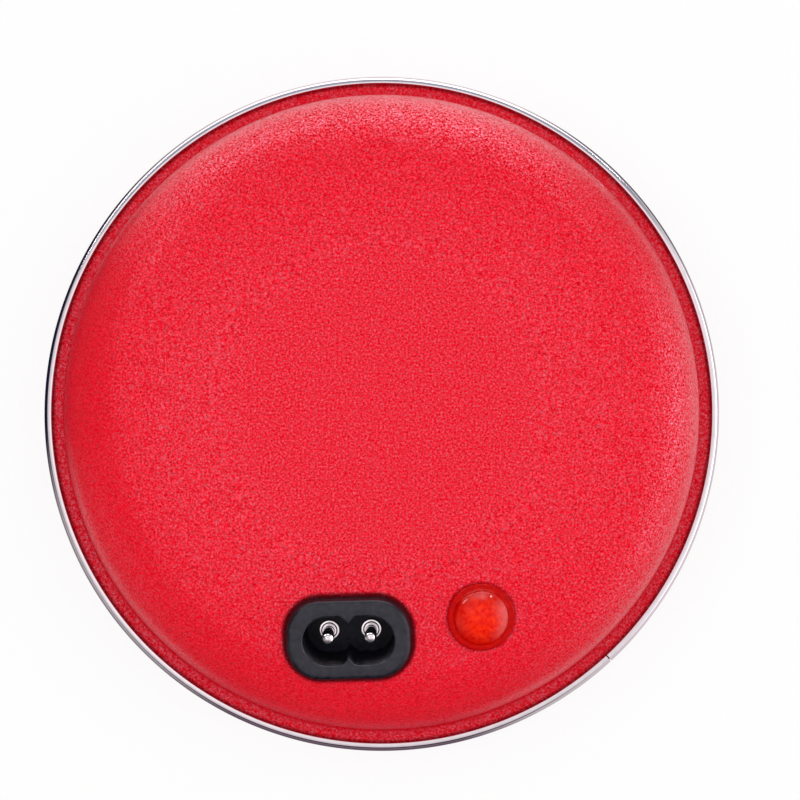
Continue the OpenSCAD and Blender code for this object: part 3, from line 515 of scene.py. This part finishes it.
def inlet_plastic():
    """Black moulding, with painted shade that makes it duller and darker down in the socket and
    at the bezel's outer edge.
    """
    m, nt, bsdf = nodes_of("inlet_plastic")
    fine = noise(nt, 900, 4.0)
    broad = noise(nt, 120, 3.0)
    local = fitting_point(nt, INLET)
    height = add(nt, "ShaderNodeSeparateXYZ", {"Vector": local}).outputs["Z"]
    past_socket = outline_gap(nt, vector(nt, "MULTIPLY", local, (1, 1, 0)),
                              PIN_PITCH + 2 * LOBE_R, 2 * LOBE_R, LOBE_R)
    past_bezel = outline_gap(nt, vector(nt, "MULTIPLY", fitting_point(nt, INLET, BEZEL_RISE),
                                        (1, 1, 0)), *BEZEL)
    # Painted shade: the share of light left, low down in the socket and at the bezel's shaded
    # outer edge; it darkens colour and shine
    face = maths(nt, "MAXIMUM", fading(nt, past_socket, -0.05, 0.12, 0.0, 1.0),
                 fading(nt, height, BEZEL_T - 2.2, BEZEL_T - 0.5, 0.0, 1.0))
    lit = maths(nt, "MULTIPLY", face, fading(nt, past_bezel, -BEZEL_EDGE, -BEZEL_EDGE / 2,
                                             1.0, 0.3))
    tint = ramp(nt, fine.outputs["Fac"], [(0.3, (0.004, 0.004, 0.007)),
                                          (0.7, (0.019, 0.018, 0.027))])
    nt.links.new(vector(nt, "MULTIPLY", tint, spread(nt, lit, 0.6, 1.0)),
                 bsdf.inputs["Base Color"])
    nt.links.new(spread(nt, lit, 0.10, 0.45), bsdf.inputs["Specular IOR Level"])
    bsdf.inputs["Specular Tint"].default_value = (0.90, 0.97, 1.0, 1)
    nt.links.new(spread(nt, broad.outputs["Fac"], 0.25, 0.35), bsdf.inputs["Roughness"])
    nt.links.new(bump(nt, fine.outputs["Fac"], 0.25, 0.05 * MM), bsdf.inputs["Normal"])
    return m


def pin_nickel():
    """Bright plating, with painted shade that makes it dull and dark in the groove of the collar.
    """
    m = simple("pin_nickel", (0.78, 0.78, 0.78), (0.88, 0.88, 0.88), 0.09, 1.0, grain=900,
               dent=0.03, spread_by=0.03)
    nt = m.node_tree
    bsdf = nt.nodes["Principled BSDF"]
    apart = vector(nt, "SUBTRACT", vector(nt, "ABSOLUTE", vector(
        nt, "MULTIPLY", fitting_point(nt, INLET), (1, 1, 0))), (PIN_PITCH / 2 * MM, 0, 0))
    off = vector(nt, "LENGTH", apart)
    inner, outer = PIN_D / 2 + COLLAR_BANDS[1], COLLAR_D / 2 - COLLAR_BANDS[0]
    # Painted shade in the collar's groove
    groove = maths(nt, "MAXIMUM", fading(nt, off, inner - 0.02, inner + 0.05, 1.0, 0.03),
                   fading(nt, off, outer - 0.05, outer + 0.02, 0.03, 1.0))
    colour = bsdf.inputs["Base Color"].links[0].from_socket
    nt.links.new(vector(nt, "MULTIPLY", colour, groove), bsdf.inputs["Base Color"])
    return m


MATERIALS = {
    "red_paint": red_paint(),
    "bright_steel": simple("bright_steel", (0.68, 0.68, 0.69), (0.76, 0.76, 0.77), 0.10, 1.0,
                           grain=500, dent=0.02, spread_by=0.03),
    "gasket_rubber": simple("gasket_rubber", (0.02, 0.02, 0.022), (0.05, 0.05, 0.055), 0.75),
    "inlet_plastic": inlet_plastic(),
    "pin_nickel": pin_nickel(),
    "spring_steel": simple("spring_steel", (0.34, 0.35, 0.37), (0.48, 0.49, 0.51), 0.34, 1.0),
    "lens_red": lens_red(),
    "bulb_glass": simple("bulb_glass", (0.80, 0.80, 0.78), (0.90, 0.90, 0.88), 0.10,
                         Transmission_Weight=0.85),
    "ceramic_store": simple("ceramic_store", (0.36, 0.25, 0.17), (0.52, 0.38, 0.27), 0.85,
                            dent=0.5),
    "mica": simple("mica", (0.42, 0.34, 0.20), (0.60, 0.52, 0.34), 0.35, Coat_Weight=0.3),
    "felt": simple("felt", (0.62, 0.60, 0.56), (0.80, 0.79, 0.75), 0.95, grain=1200, dent=0.8),
    "ceramic_white": simple("ceramic_white", (0.70, 0.68, 0.62), (0.80, 0.78, 0.72), 0.55),
    "phenolic": simple("phenolic", (0.045, 0.025, 0.016), (0.08, 0.045, 0.03), 0.45),
    "brass_part": simple("brass_part", (0.62, 0.43, 0.17), (0.76, 0.56, 0.25), 0.28, 1.0),
    "zinc_steel": simple("zinc_steel", (0.50, 0.52, 0.53), (0.64, 0.66, 0.67), 0.38, 1.0),
    "lead_red": simple("lead_red", (0.42, 0.02, 0.02), (0.55, 0.04, 0.03), 0.5),
    "lead_blue": simple("lead_blue", (0.02, 0.06, 0.32), (0.04, 0.10, 0.42), 0.5),
    "lead_white": simple("lead_white", (0.62, 0.60, 0.55), (0.75, 0.73, 0.68), 0.6),
}
SLOT = {s["node"]: s["material_slot"] for s in frame["record"]["subparts"]}
for name, o in frame["nodes"].items():
    for s in o.material_slots:
        s.material = MATERIALS[SLOT[name]]


# Domes

# Steps round a dome; a seat only moves points this high up, this near its plane and middle
AROUND, SEATS_ABOVE, SEAT_LIFT, SEAT_SPAN = 400, 15.0, 3.0, 40.0
# Where the cutters of the holes start and end, from the seat's plane
HOLE_CUT = (-3, 2)


def dome_profile(depth):
    """The dome's pressed surface, a depth below its outside, from the middle to the flange."""
    flat = [(FLAT_R * i / 24, HALF_H - depth) for i in range(24)]
    crown = arc(CROWN_C, CROWN_R - depth, 90, 90 - CROWN_SLOPE, 60)
    shoulder = arc(SHOULDER_C, SHOULDER_R - depth, 90 - CROWN_SLOPE, WALL_DRAFT, 40)[1:]
    root_r = ROOT_R + depth
    wall_foot = (ROOT_C[0] - root_r * cosd(WALL_DRAFT), ROOT_C[1] + root_r * sind(WALL_DRAFT))
    wall = between(shoulder[-1], wall_foot, 4)
    root = arc(ROOT_C, root_r, 180 + WALL_DRAFT, 270, 10)
    return flat + crown + shoulder + wall + root


def shell_profile():
    """Outside, flange with its rounded edge, and inside of a dome."""
    edge, start = SHEET / 2, ROOT_C[0]
    end = FLANGE_R - edge
    nose = arc((end, FLANGE_TOP - edge), edge, 90, -90, 8)
    return (dome_profile(0) + between((start, FLANGE_TOP), (end, FLANGE_TOP), 3) + nose
            + between((end, FLANGE_UNDER), (start, FLANGE_UNDER), 3)
            + dome_profile(SHEET)[::-1])


def pressed(p, place, gap, reach, blend, sunk):
    """The shell's point, drawn into the flat, slightly sunk seat round a fitting."""
    m = place_matrix(place)
    q = m.inverted() @ Vector(p)
    if abs(q.z) > SEAT_LIFT or max(abs(q.x), abs(q.y)) > SEAT_SPAN:
        return p
    d = gap(q.x, q.y)
    if d > blend:
        return p
    t = min(max((blend - d) / (blend - reach), 0), 1)
    t = t * t * (3 - 2 * t)
    q.z -= (surface_offset(m, q.x, q.y) + sunk) * t
    return tuple(m @ q)


def surface_offset(m, x, y):
    """How far the dome's outside lies above the seat's plane at a point of the seat."""
    p = m @ Vector((x, y, 0))
    n = m.to_3x3() @ Vector((0, 0, 1))
    return (MID + dome_y(math.hypot(p.x, p.y)) - p.z) * n.z


def rect_gap(w, h, r, cy=0.0):
    """The distance from a rounded rectangle's outline, as a function of x and y."""
    def gap(x, y):
        qx, qy = abs(x) - (w / 2 - r), abs(y - cy) - (h / 2 - r)
        return math.hypot(max(qx, 0), max(qy, 0)) + min(max(qx, qy), 0) - r
    return gap


def front_dome():
    """The painted dome with two sunk seats and the holes in them."""
    verts, faces = moved(lathe(shell_profile(), AROUND), dz=MID)
    inlet_gap = rect_gap(*BEZEL, BEZEL_RISE)
    lens_gap = rect_gap(LENS_RIM_D, LENS_RIM_D, LENS_RIM_D / 2)
    seated = []
    for v in verts:
        if v[2] > MID + SEATS_ABOVE and v[1] < 0:
            v = pressed(v, INLET, inlet_gap, *INLET_SEAT)
            v = pressed(v, LAMP, lens_gap, *LAMP_SEAT)
        seated.append(v)
    dome = piece("front_dome", seated, faces)
    hole = rounded_rect(BODY[0] + 2 * HOLE_GAP, BODY[1] + 2 * HOLE_GAP, BODY[2] + HOLE_GAP)
    cut_inlet = piece("cut_inlet", *loft([[(x, y, z) for x, y in hole] for z in HOLE_CUT]),
                      INLET_AT)
    cut_lamp = piece("cut_lamp", *rod(LENS_STEM_D / 2 + HOLE_GAP, *HOLE_CUT, 64), LAMP_AT)
    cut_away(dome, cut_inlet, cut_lamp)
    dress(dome, "red_paint", "front_shell")


def back_dome():
    dome = moved(lathe([(r, -z) for r, z in shell_profile()], AROUND), dz=MID)
    dress(piece("back_dome", *dome), "red_paint", "back_shell")


# Clamp ring

def ring_profile():
    """A channel with rolled lips: tight inner edge, nearly level lip, a bend, a steep flank."""
    lip, inner = FLANGE_TOP + SEAT_GAP, RIM_R - LIP_REACH
    top, web = lip + 2 * BEAD_R, RIM_R - RING_SHEET
    level = arc((inner + LIP_EDGE, top - LIP_EDGE), LIP_EDGE, 180, 90 - LIP_BENDS[0][1], 6)
    for width, slope0, slope1 in LIP_BENDS:
        bent(level, width, slope0, slope1, 8)
    bent(level, RIM_R - level[-1][0], FLANK_START, FLANK_END, 14)
    foot = level[-1][1]
    upper = ([(web, lip)] + arc((inner + LIP_EDGE, lip + LIP_EDGE), LIP_EDGE, 270, 180, 6)
             + level)
    return (upper + between((RIM_R, foot), (RIM_R, -foot), 4)
            + [(r, -z) for r, z in reversed(upper)])


def clamp_band():
    """The bright ring, open at its split."""
    half = math.degrees(math.asin(SPLIT_GAP / 2 / RIM_R))
    ring = lathe(ring_profile()[::-1], 540, SPLIT_AZ + half, SPLIT_AZ + 360 - half, loop=True)
    dress(piece("clamp_band", *moved(ring, dz=MID)), "bright_steel", "clamp_ring")


# Inlet

def ridge(sign):
    """The ridge of one long side: bowed flanks and a blunt tip."""
    pts = []
    for i in range(17):
        u = -1 + 2 * i / 16
        rise = (1 - abs(u)) ** SIDE_BOW if abs(u) > TIP_SHARE else (
            (1 - TIP_SHARE) ** SIDE_BOW + TIP_SWELL * (1 - (u / TIP_SHARE) ** 2))
        pts.append((-u * RIDGE_W / 2, LOBE_R - RIDGE_H * min(rise, 1)))
    return [(sign * x, sign * y) for x, y in pts]


def socket_outline():
    """Two round lobes joined by straight sides, with a rounded ridge in the middle of each."""
    lobe = PIN_PITCH / 2
    side = between((lobe, LOBE_R), (RIDGE_W / 2, LOBE_R), 4)
    return (arc((lobe, 0), LOBE_R, -90, 90, 36) + side + ridge(1)
            + [(-x, y) for x, y in reversed(side)]
            + arc((-lobe, 0), LOBE_R, 90, 270, 36) + [(-x, -y) for x, y in side]
            + ridge(-1) + [(x, -y) for x, y in reversed(side)])


def inlet_mesh():
    """The moulding as one stack of rings: body, bezel, and the socket down to its floor."""
    mouth = socket_outline()
    angles = [math.atan2(y, x) for x, y in mouth]
    rings = []

    def rect_ring(size, inset, z, cy=0.0):
        w, h, r = size
        outline = rounded_rect(w - 2 * inset, h - 2 * inset, r - inset, 24)
        rings.append([(x, y + cy, z) for x, y in by_angle(outline, angles)])

    def mouth_ring(by, z):
        rings.append([(x, y, z) for x, y in offset(mouth, by)])

    for a in range(0, 91, 30):
        rect_ring(BODY, BODY_EDGE * (1 - sind(a)), -BODY_DEPTH + BODY_EDGE * (1 - cosd(a)))
    foot = SEAT_PLAY - INLET_SEAT[2]
    rect_ring(BODY, 0, -BODY_DEPTH / 2)
    rect_ring(BODY, 0, foot)
    rect_ring(BEZEL, BEZEL_FOOT[0], foot, BEZEL_RISE)
    rect_ring(BEZEL, 0, foot + BEZEL_FOOT[1], BEZEL_RISE)
    for inset, z in BEZEL_SIDE:
        rect_ring(BEZEL, inset, z, BEZEL_RISE)
    for a in range(0, 91, 15):
        rect_ring(BEZEL, BEZEL_TAPER + BEZEL_EDGE * (1 - cosd(a)),
                  BEZEL_T - BEZEL_EDGE * 0.8 * (1 - sind(a)), BEZEL_RISE)
    for a in range(0, 91, 15):
        mouth_ring(MOUTH_EDGE * (1 - sind(a)), BEZEL_T - MOUTH_EDGE * (1 - cosd(a)))
    mouth_ring(-SOCKET_DRAFT, BEZEL_T - 5)
    mouth_ring(-2 * SOCKET_DRAFT, SOCKET_FLOOR + SOCKET_FILLET)
    mouth_ring(-SOCKET_FILLET, SOCKET_FLOOR)
    return loft(rings)


def inlet_body():
    """The black moulding, bored for its pins."""
    body = piece("inlet_body", *inlet_mesh(), INLET_AT, sharp=38)
    bores = []
    for side in (-1, 1):
        bore = rod(PIN_D / 2 + BORE_PLAY, -BODY_DEPTH - 2, SOCKET_FLOOR + 1, 40)
        bores.append(piece("bore_%d" % side, *moved(bore, side * PIN_PITCH / 2), INLET_AT))
    cut_away(body, *bores, sharp=38)
    dress(body, "inlet_plastic", "inlet_housing")


def pin_mesh():
    """A pin with its round tip, and its collar with two bands and a groove between them."""
    foot = SOCKET_FLOOR + 0.05
    top = foot + COLLAR_T
    r, tip, rear = PIN_D / 2, SOCKET_FLOOR + PIN_LEN, -BODY_DEPTH - PIN_REAR
    collar, groove = COLLAR_D / 2, top - GROOVE_DEPTH
    outer, inner = collar - COLLAR_BANDS[0], r + COLLAR_BANDS[1]
    profile = ([(0, rear), (r, rear), (r, foot), (collar - 0.05, foot), (collar, foot + 0.1)]
               + arc((collar - COLLAR_EDGE, top - COLLAR_EDGE), COLLAR_EDGE, 0, 90, 3)
               + [(outer, top), (outer - 0.03, groove), (inner + 0.07, groove),
                  (inner + 0.04, top), (r + 0.04, top), (r, top - 0.04)]
               + arc((r - PIN_EDGE, tip - TIP_H), PIN_EDGE, 0, PIN_TURN, 5))
    cap = profile[-1]
    bend = cap[0] / cosd(PIN_TURN)
    profile += arc((0, cap[1] - bend * sind(PIN_TURN)), bend, PIN_TURN, 90, 6)[1:]
    profile[-1] = (0, profile[-1][1])
    return lathe(profile, 48)


def lug_mesh():
    """The flat lug at a pin's rear."""
    x, y = LUG_W / 2, LUG_T / 2
    return loft([[(x, -y, z), (x, y, z), (-x, y, z), (-x, -y, z)]
                 for z in (-BODY_DEPTH - LUG_LEN, -BODY_DEPTH - 0.05)])


def inlet_contacts():
    parts = [moved(part, side * PIN_PITCH / 2)
             for side in (-1, 1) for part in (pin_mesh(), lug_mesh())]
    contacts = piece("inlet_contacts", *joined(parts), INLET_AT, sharp=40)
    dress(contacts, "pin_nickel", "inlet_pins")


# Lamp

def lens_profile():
    """Outside and bore of the lens: a shallow crown, a nearly straight flank, a round edge."""
    rim, crown, stem = LENS_RIM_D / 2, LENS_DOME_D / 2, LENS_STEM_D / 2
    bore, roof, foot = stem - LENS_WALL, LENS_DOME_H - LENS_WALL, SEAT_PLAY - LAMP_SEAT[2]
    dome = [(0.0, LENS_RIM_T + LENS_DOME_H)]
    for share, slope0, slope1 in LENS_BENDS:
        bent(dome, share * crown - dome[-1][0], slope0, slope1, 8)
    hollow = [(0, LENS_RIM_T + roof)] + [(bore * cosd(a), LENS_RIM_T + roof * sind(a))
                                         for a in range(87, -1, -6)]
    return ([(bore, -STEM_LEN), (stem, -STEM_LEN), (stem, foot), (rim - 0.1, foot),
             (rim, foot + 0.1)]
            + arc((rim - LENS_EDGE, LENS_RIM_T - LENS_EDGE), LENS_EDGE, 0, 90, 6)
            + [(crown + 0.25, LENS_RIM_T)] + dome[::-1] + hollow + [(bore, -STEM_LEN)])


def lamp_cap():
    lens = piece("lamp_cap", *lathe(lens_profile(), 96), LAMP_AT, sharp=40)
    dress(lens, "lens_red", "lamp_lens")


# Stage, light and camera

LAMPS_AIM = (0, 0, 0.03)
WHITE, MAUVE = (1.0, 0.88, 0.93), (1.0, 0.70, 0.92)
NAVY, STEEL = (0.8, 0.8, 2.6), (0.88, 0.92, 1.10)

# Brightness of the room by direction: degrees round the part, level, tint
ROOM = {
    "floor_near": [(0, 0.75, WHITE), (22, 0.50, WHITE), (32, 0.14, STEEL), (54, 0.14, STEEL),
                   (66, 0.80, WHITE), (110, 0.90, WHITE), (126, 0.45, WHITE),
                   (140, 0.014, NAVY), (184, 0.014, NAVY), (198, 0.30, WHITE),
                   (228, 0.30, WHITE), (242, 0.15, MAUVE), (284, 0.15, MAUVE),
                   (298, 0.60, WHITE), (325, 0.80, WHITE)],
    "floor_mid": [(0, 0.95, WHITE), (34, 1.10, WHITE), (60, 1.40, WHITE), (120, 1.30, WHITE),
                  (132, 0.90, WHITE), (142, 0.014, NAVY), (182, 0.014, NAVY),
                  (196, 0.85, WHITE), (228, 0.85, WHITE), (242, 0.30, MAUVE),
                  (284, 0.30, MAUVE), (298, 0.80, WHITE), (330, 0.90, WHITE)],
    "low": [(0, 4.0, WHITE), (18, 3.0, WHITE), (30, 1.2, WHITE), (45, 0.9, WHITE),
            (60, 3.7, WHITE), (78, 5.6, WHITE), (105, 4.2, WHITE), (125, 4.0, WHITE),
            (140, 2.0, WHITE), (150, 0.10, WHITE), (165, 0.004, NAVY), (183, 0.004, NAVY),
            (198, 0.5, WHITE), (212, 0.6, WHITE), (226, 0.2, WHITE), (242, 0.0, WHITE),
            (285, 0.0, WHITE), (298, 0.2, WHITE), (315, 1.2, WHITE), (332, 2.4, WHITE),
            (348, 2.8, WHITE)],
    "middle": [(0, 2.4, WHITE), (14, 1.8, WHITE), (28, 1.0, WHITE), (38, 0.3, WHITE),
               (56, 0.4, WHITE), (72, 3.0, WHITE), (105, 1.7, WHITE), (125, 0.8, WHITE),
               (150, 0.25, WHITE), (175, 0.10, WHITE), (210, 0.35, WHITE),
               (240, 0.20, WHITE), (285, 0.15, WHITE), (305, 0.40, WHITE),
               (330, 1.2, WHITE), (345, 1.8, WHITE)],
    "strip": [(0, 1.15, WHITE), (33, 1.1, WHITE), (42, 0.42, STEEL), (138, 0.42, STEEL),
              (150, 0.9, WHITE), (300, 0.9, WHITE), (330, 1.2, WHITE)],
    "halo": [(0, 0.95, WHITE), (40, 1.30, WHITE), (230, 1.35, WHITE), (260, 1.1, WHITE),
             (330, 1.0, WHITE)],
    "zenith": [(0, 0.9, WHITE)],
}

# Rows of the room with their table and gain: by radius on its floor, by elevation on its vault
VAULT_R, VAULT_STEPS, FLOOR_LIFT = 1.6, 180, 0.0008
FLOOR_ROWS = ((0.0725, "floor_near", 1), (0.094, "floor_near", 1), (0.098, "floor_mid", 1),
              (0.108, "floor_mid", 1), (0.124, "low", 0.5), (0.3, "low", 0.6),
              (VAULT_R, "low", 1))
VAULT_ROWS = ((8, "low", 1.2), (33, "middle", 1.1), (50, "middle", 1), (56, "strip", 1),
              (66, "strip", 1), (69, "halo", 1), (76, "halo", 1), (81, "zenith", 1),
              (86, "zenith", 1))

# The floor that the camera sees glows: a share of it near the part, all of it farther off (mm)
FLOOR_GLOW = (110, 400, 0.87, 1.0)
# The white surroundings light the part less than they show
FILL_LEVEL = 0.62


def turned_to(place, look, axis):
    return (Vector(look) - Vector(place)).to_track_quat(axis, "Y").to_euler()


def stage_plane(name, size, place, material, look=None):
    """A flat stage piece, level or with its face turned to a point."""
    x, y = size[0] / 2, size[1] / 2
    mesh = bpy.data.meshes.new(name)
    mesh.from_pydata([(-x, -y, 0), (x, -y, 0), (x, y, 0), (-x, y, 0)], [], [[0, 1, 2, 3]])
    o = new_object(name, mesh)
    o.location = place
    if look is not None:
        o.rotation_euler = turned_to(place, look, "Z")
    mesh.materials.append(material)
    return o


def stage_material(name):
    """A new material that has nothing but its output."""
    m = bpy.data.materials.new(name)
    m.use_nodes = True
    m.node_tree.nodes.clear()
    out = add(m.node_tree, "ShaderNodeOutputMaterial")
    return m, m.node_tree, out.inputs["Surface"]


def emission(nt, colour, strength):
    return add(nt, "ShaderNodeEmission", {"Color": colour, "Strength": strength}).outputs[0]


def seen_rays(nt):
    """1 for rays from the camera, and for those that metal and glass send on."""
    path = add(nt, "ShaderNodeLightPath").outputs
    seen = maths(nt, "MAXIMUM", path["Is Camera Ray"], path["Is Glossy Ray"])
    return maths(nt, "MAXIMUM", seen, path["Is Transmission Ray"])


def floor_material():
    """Pale floor that keeps a soft shadow near the part and has no horizon."""
    m, nt, surface = stage_material("pale_floor")
    lit = add(nt, "ShaderNodeBsdfDiffuse", {"Color": (0.93, 0.93, 0.93, 1)})
    co = add(nt, "ShaderNodeTexCoord")
    away = fading(nt, vector(nt, "LENGTH", co.outputs["Object"]), *FLOOR_GLOW)
    mix = add(nt, "ShaderNodeMixShader", {
        0: maths(nt, "MULTIPLY", seen_rays(nt), away), 1: lit.outputs[0],
        2: emission(nt, (1, 1, 1, 1), 1.0)})
    nt.links.new(mix.outputs[0], surface)
    return m


def reflected_only(o):
    o.visible_camera = o.visible_diffuse = o.visible_transmission = False
    o.visible_shadow = o.visible_volume_scatter = False
    return o


def room_light(table, az):
    """The colour in one direction, between the two nearest entries of a table."""
    wrapped = ([(table[-1][0] - 360, *table[-1][1:])] + table
               + [(table[0][0] + 360, *table[0][1:])])
    for (a0, g0, c0), (a1, g1, c1) in zip(wrapped, wrapped[1:]):
        if a0 <= az <= a1:
            t = (az - a0) / (a1 - a0)
            return [g0 * x * (1 - t) + g1 * y * t for x, y in zip(c0, c1)]


def surroundings():
    """The room that only reflections see: a floor and a vault, with dark and bright parts."""
    n = VAULT_STEPS
    turns = [360 * k / n for k in range(n)]
    rows = [(r, FLOOR_LIFT, table, gain) for r, table, gain in FLOOR_ROWS]
    rows += [(VAULT_R * cosd(e), VAULT_R * sind(e) + FLOOR_LIFT, table, gain)
             for e, table, gain in VAULT_ROWS]
    verts, faces = loft([[(r * cosd(a), r * sind(a), z) for a in turns]
                         for r, z, _, _ in rows], caps=False)
    light = [[gain * v for v in room_light(ROOM[table], a)]
             for _, _, table, gain in rows for a in turns]
    top = len(verts) - n
    faces += [[top + k, top + (k + 1) % n, len(verts)] for k in range(n)]
    verts.append((0, 0, VAULT_R))
    light.append(room_light(ROOM["zenith"], 0))
    mesh = bpy.data.meshes.new("studio_vault")
    mesh.from_pydata(verts, [], faces)
    tones = mesh.color_attributes.new("room_light", "FLOAT_COLOR", "POINT")
    tones.data.foreach_set("color", [v for colour in light for v in (*colour, 1.0)])
    o = new_object("studio_vault", mesh)
    m, nt, surface = stage_material("studio_vault")
    tone = add(nt, "ShaderNodeAttribute", attribute_name="room_light")
    nt.links.new(emission(nt, tone.outputs["Color"], 1.0), surface)
    mesh.materials.append(m)
    reflected_only(o)


def softbox(name, place, size, strength):
    """A lamp that only reflections see, turned to the part."""
    m, nt, surface = stage_material(name)
    nt.links.new(emission(nt, (1, 0.98, 0.97, 1), strength), surface)
    reflected_only(stage_plane(name, size, place, m, look=LAMPS_AIM))


def studio_world():
    """White to the camera and in reflections, dimmer as light on the part."""
    world = bpy.data.worlds.new("studio")
    bpy.context.scene.world = world
    world.use_nodes = True
    nt = world.node_tree
    nt.nodes.clear()
    out = add(nt, "ShaderNodeOutputWorld")
    back = add(nt, "ShaderNodeBackground", {
        "Color": (1, 1, 1, 1), "Strength": spread(nt, seen_rays(nt), FILL_LEVEL, 1.0)})
    nt.links.new(back.outputs[0], out.inputs["Surface"])


def soft_light(name, place, size, watts):
    """An area lamp over the part that leaves no highlight."""
    light = bpy.data.lights.new(name, "AREA")
    light.shape, light.size, light.size_y, light.energy = "RECTANGLE", size[0], size[1], watts
    o = new_object(name, light)
    o.location = place
    o.rotation_euler = turned_to(place, LAMPS_AIM, "-Z")
    o.visible_glossy = False


def set_camera():
    """The photo's camera: its tilt, side, distance and roll, and in px its lens and centre."""
    tilt, way, distance = rad(2.07), rad(271.9), 452.7 * MM
    focal_px, width_px, u, v, roll = 2132.9, 800, 382.15, 411.77, rad(-0.14)
    w = Vector((math.sin(tilt) * math.cos(way), math.sin(tilt) * math.sin(way), math.cos(tilt)))
    x = Vector((0, 1, 0)).cross(w).normalized()
    y = w.cross(x)
    x, y = x * math.cos(roll) + y * math.sin(roll), y * math.cos(roll) - x * math.sin(roll)
    aim = Vector(((u - width_px / 2) / focal_px, (width_px / 2 - v) / focal_px, -1)).normalized()
    turn = Vector((0, 0, -1)).rotation_difference(aim).to_matrix()
    axes = Matrix((x, y, w)).transposed() @ turn.transposed()
    data = bpy.data.cameras.new("camera")
    data.sensor_fit, data.sensor_width = "HORIZONTAL", 36
    data.lens = focal_px * data.sensor_width / width_px
    data.clip_start = 0.01
    cam = new_object("camera", data)
    cam.matrix_world = Matrix.Translation(Vector((0, 0, MID * MM)) + w * distance) @ axes.to_4x4()
    bpy.context.scene.camera = cam


# Building it all

front_dome()
back_dome()
clamp_band()
inlet_body()
inlet_contacts()
lamp_cap()

surroundings()
softbox("softbox_right", (0.465, 0.535, 0.554), (0.08, 0.06), 22)
softbox("softbox_left", (-0.504, 0.423, 0.614), (0.26, 0.07), 9)
stage_plane("floor", (6, 6), (0, 0, -0.05 * MM), floor_material())
studio_world()
soft_light("top_left", (-0.25, 0.00, 1.00), (0.5, 0.4), 2.35)
soft_light("top_right", (0.22, 0.04, 1.00), (0.5, 0.4), 2.25)
soft_light("right", (0.85, -0.15, 0.40), (0.6, 0.35), 0.6)
set_camera()
bpy.context.scene.view_settings.view_transform = "Standard"

bpy.context.view_layer.update()
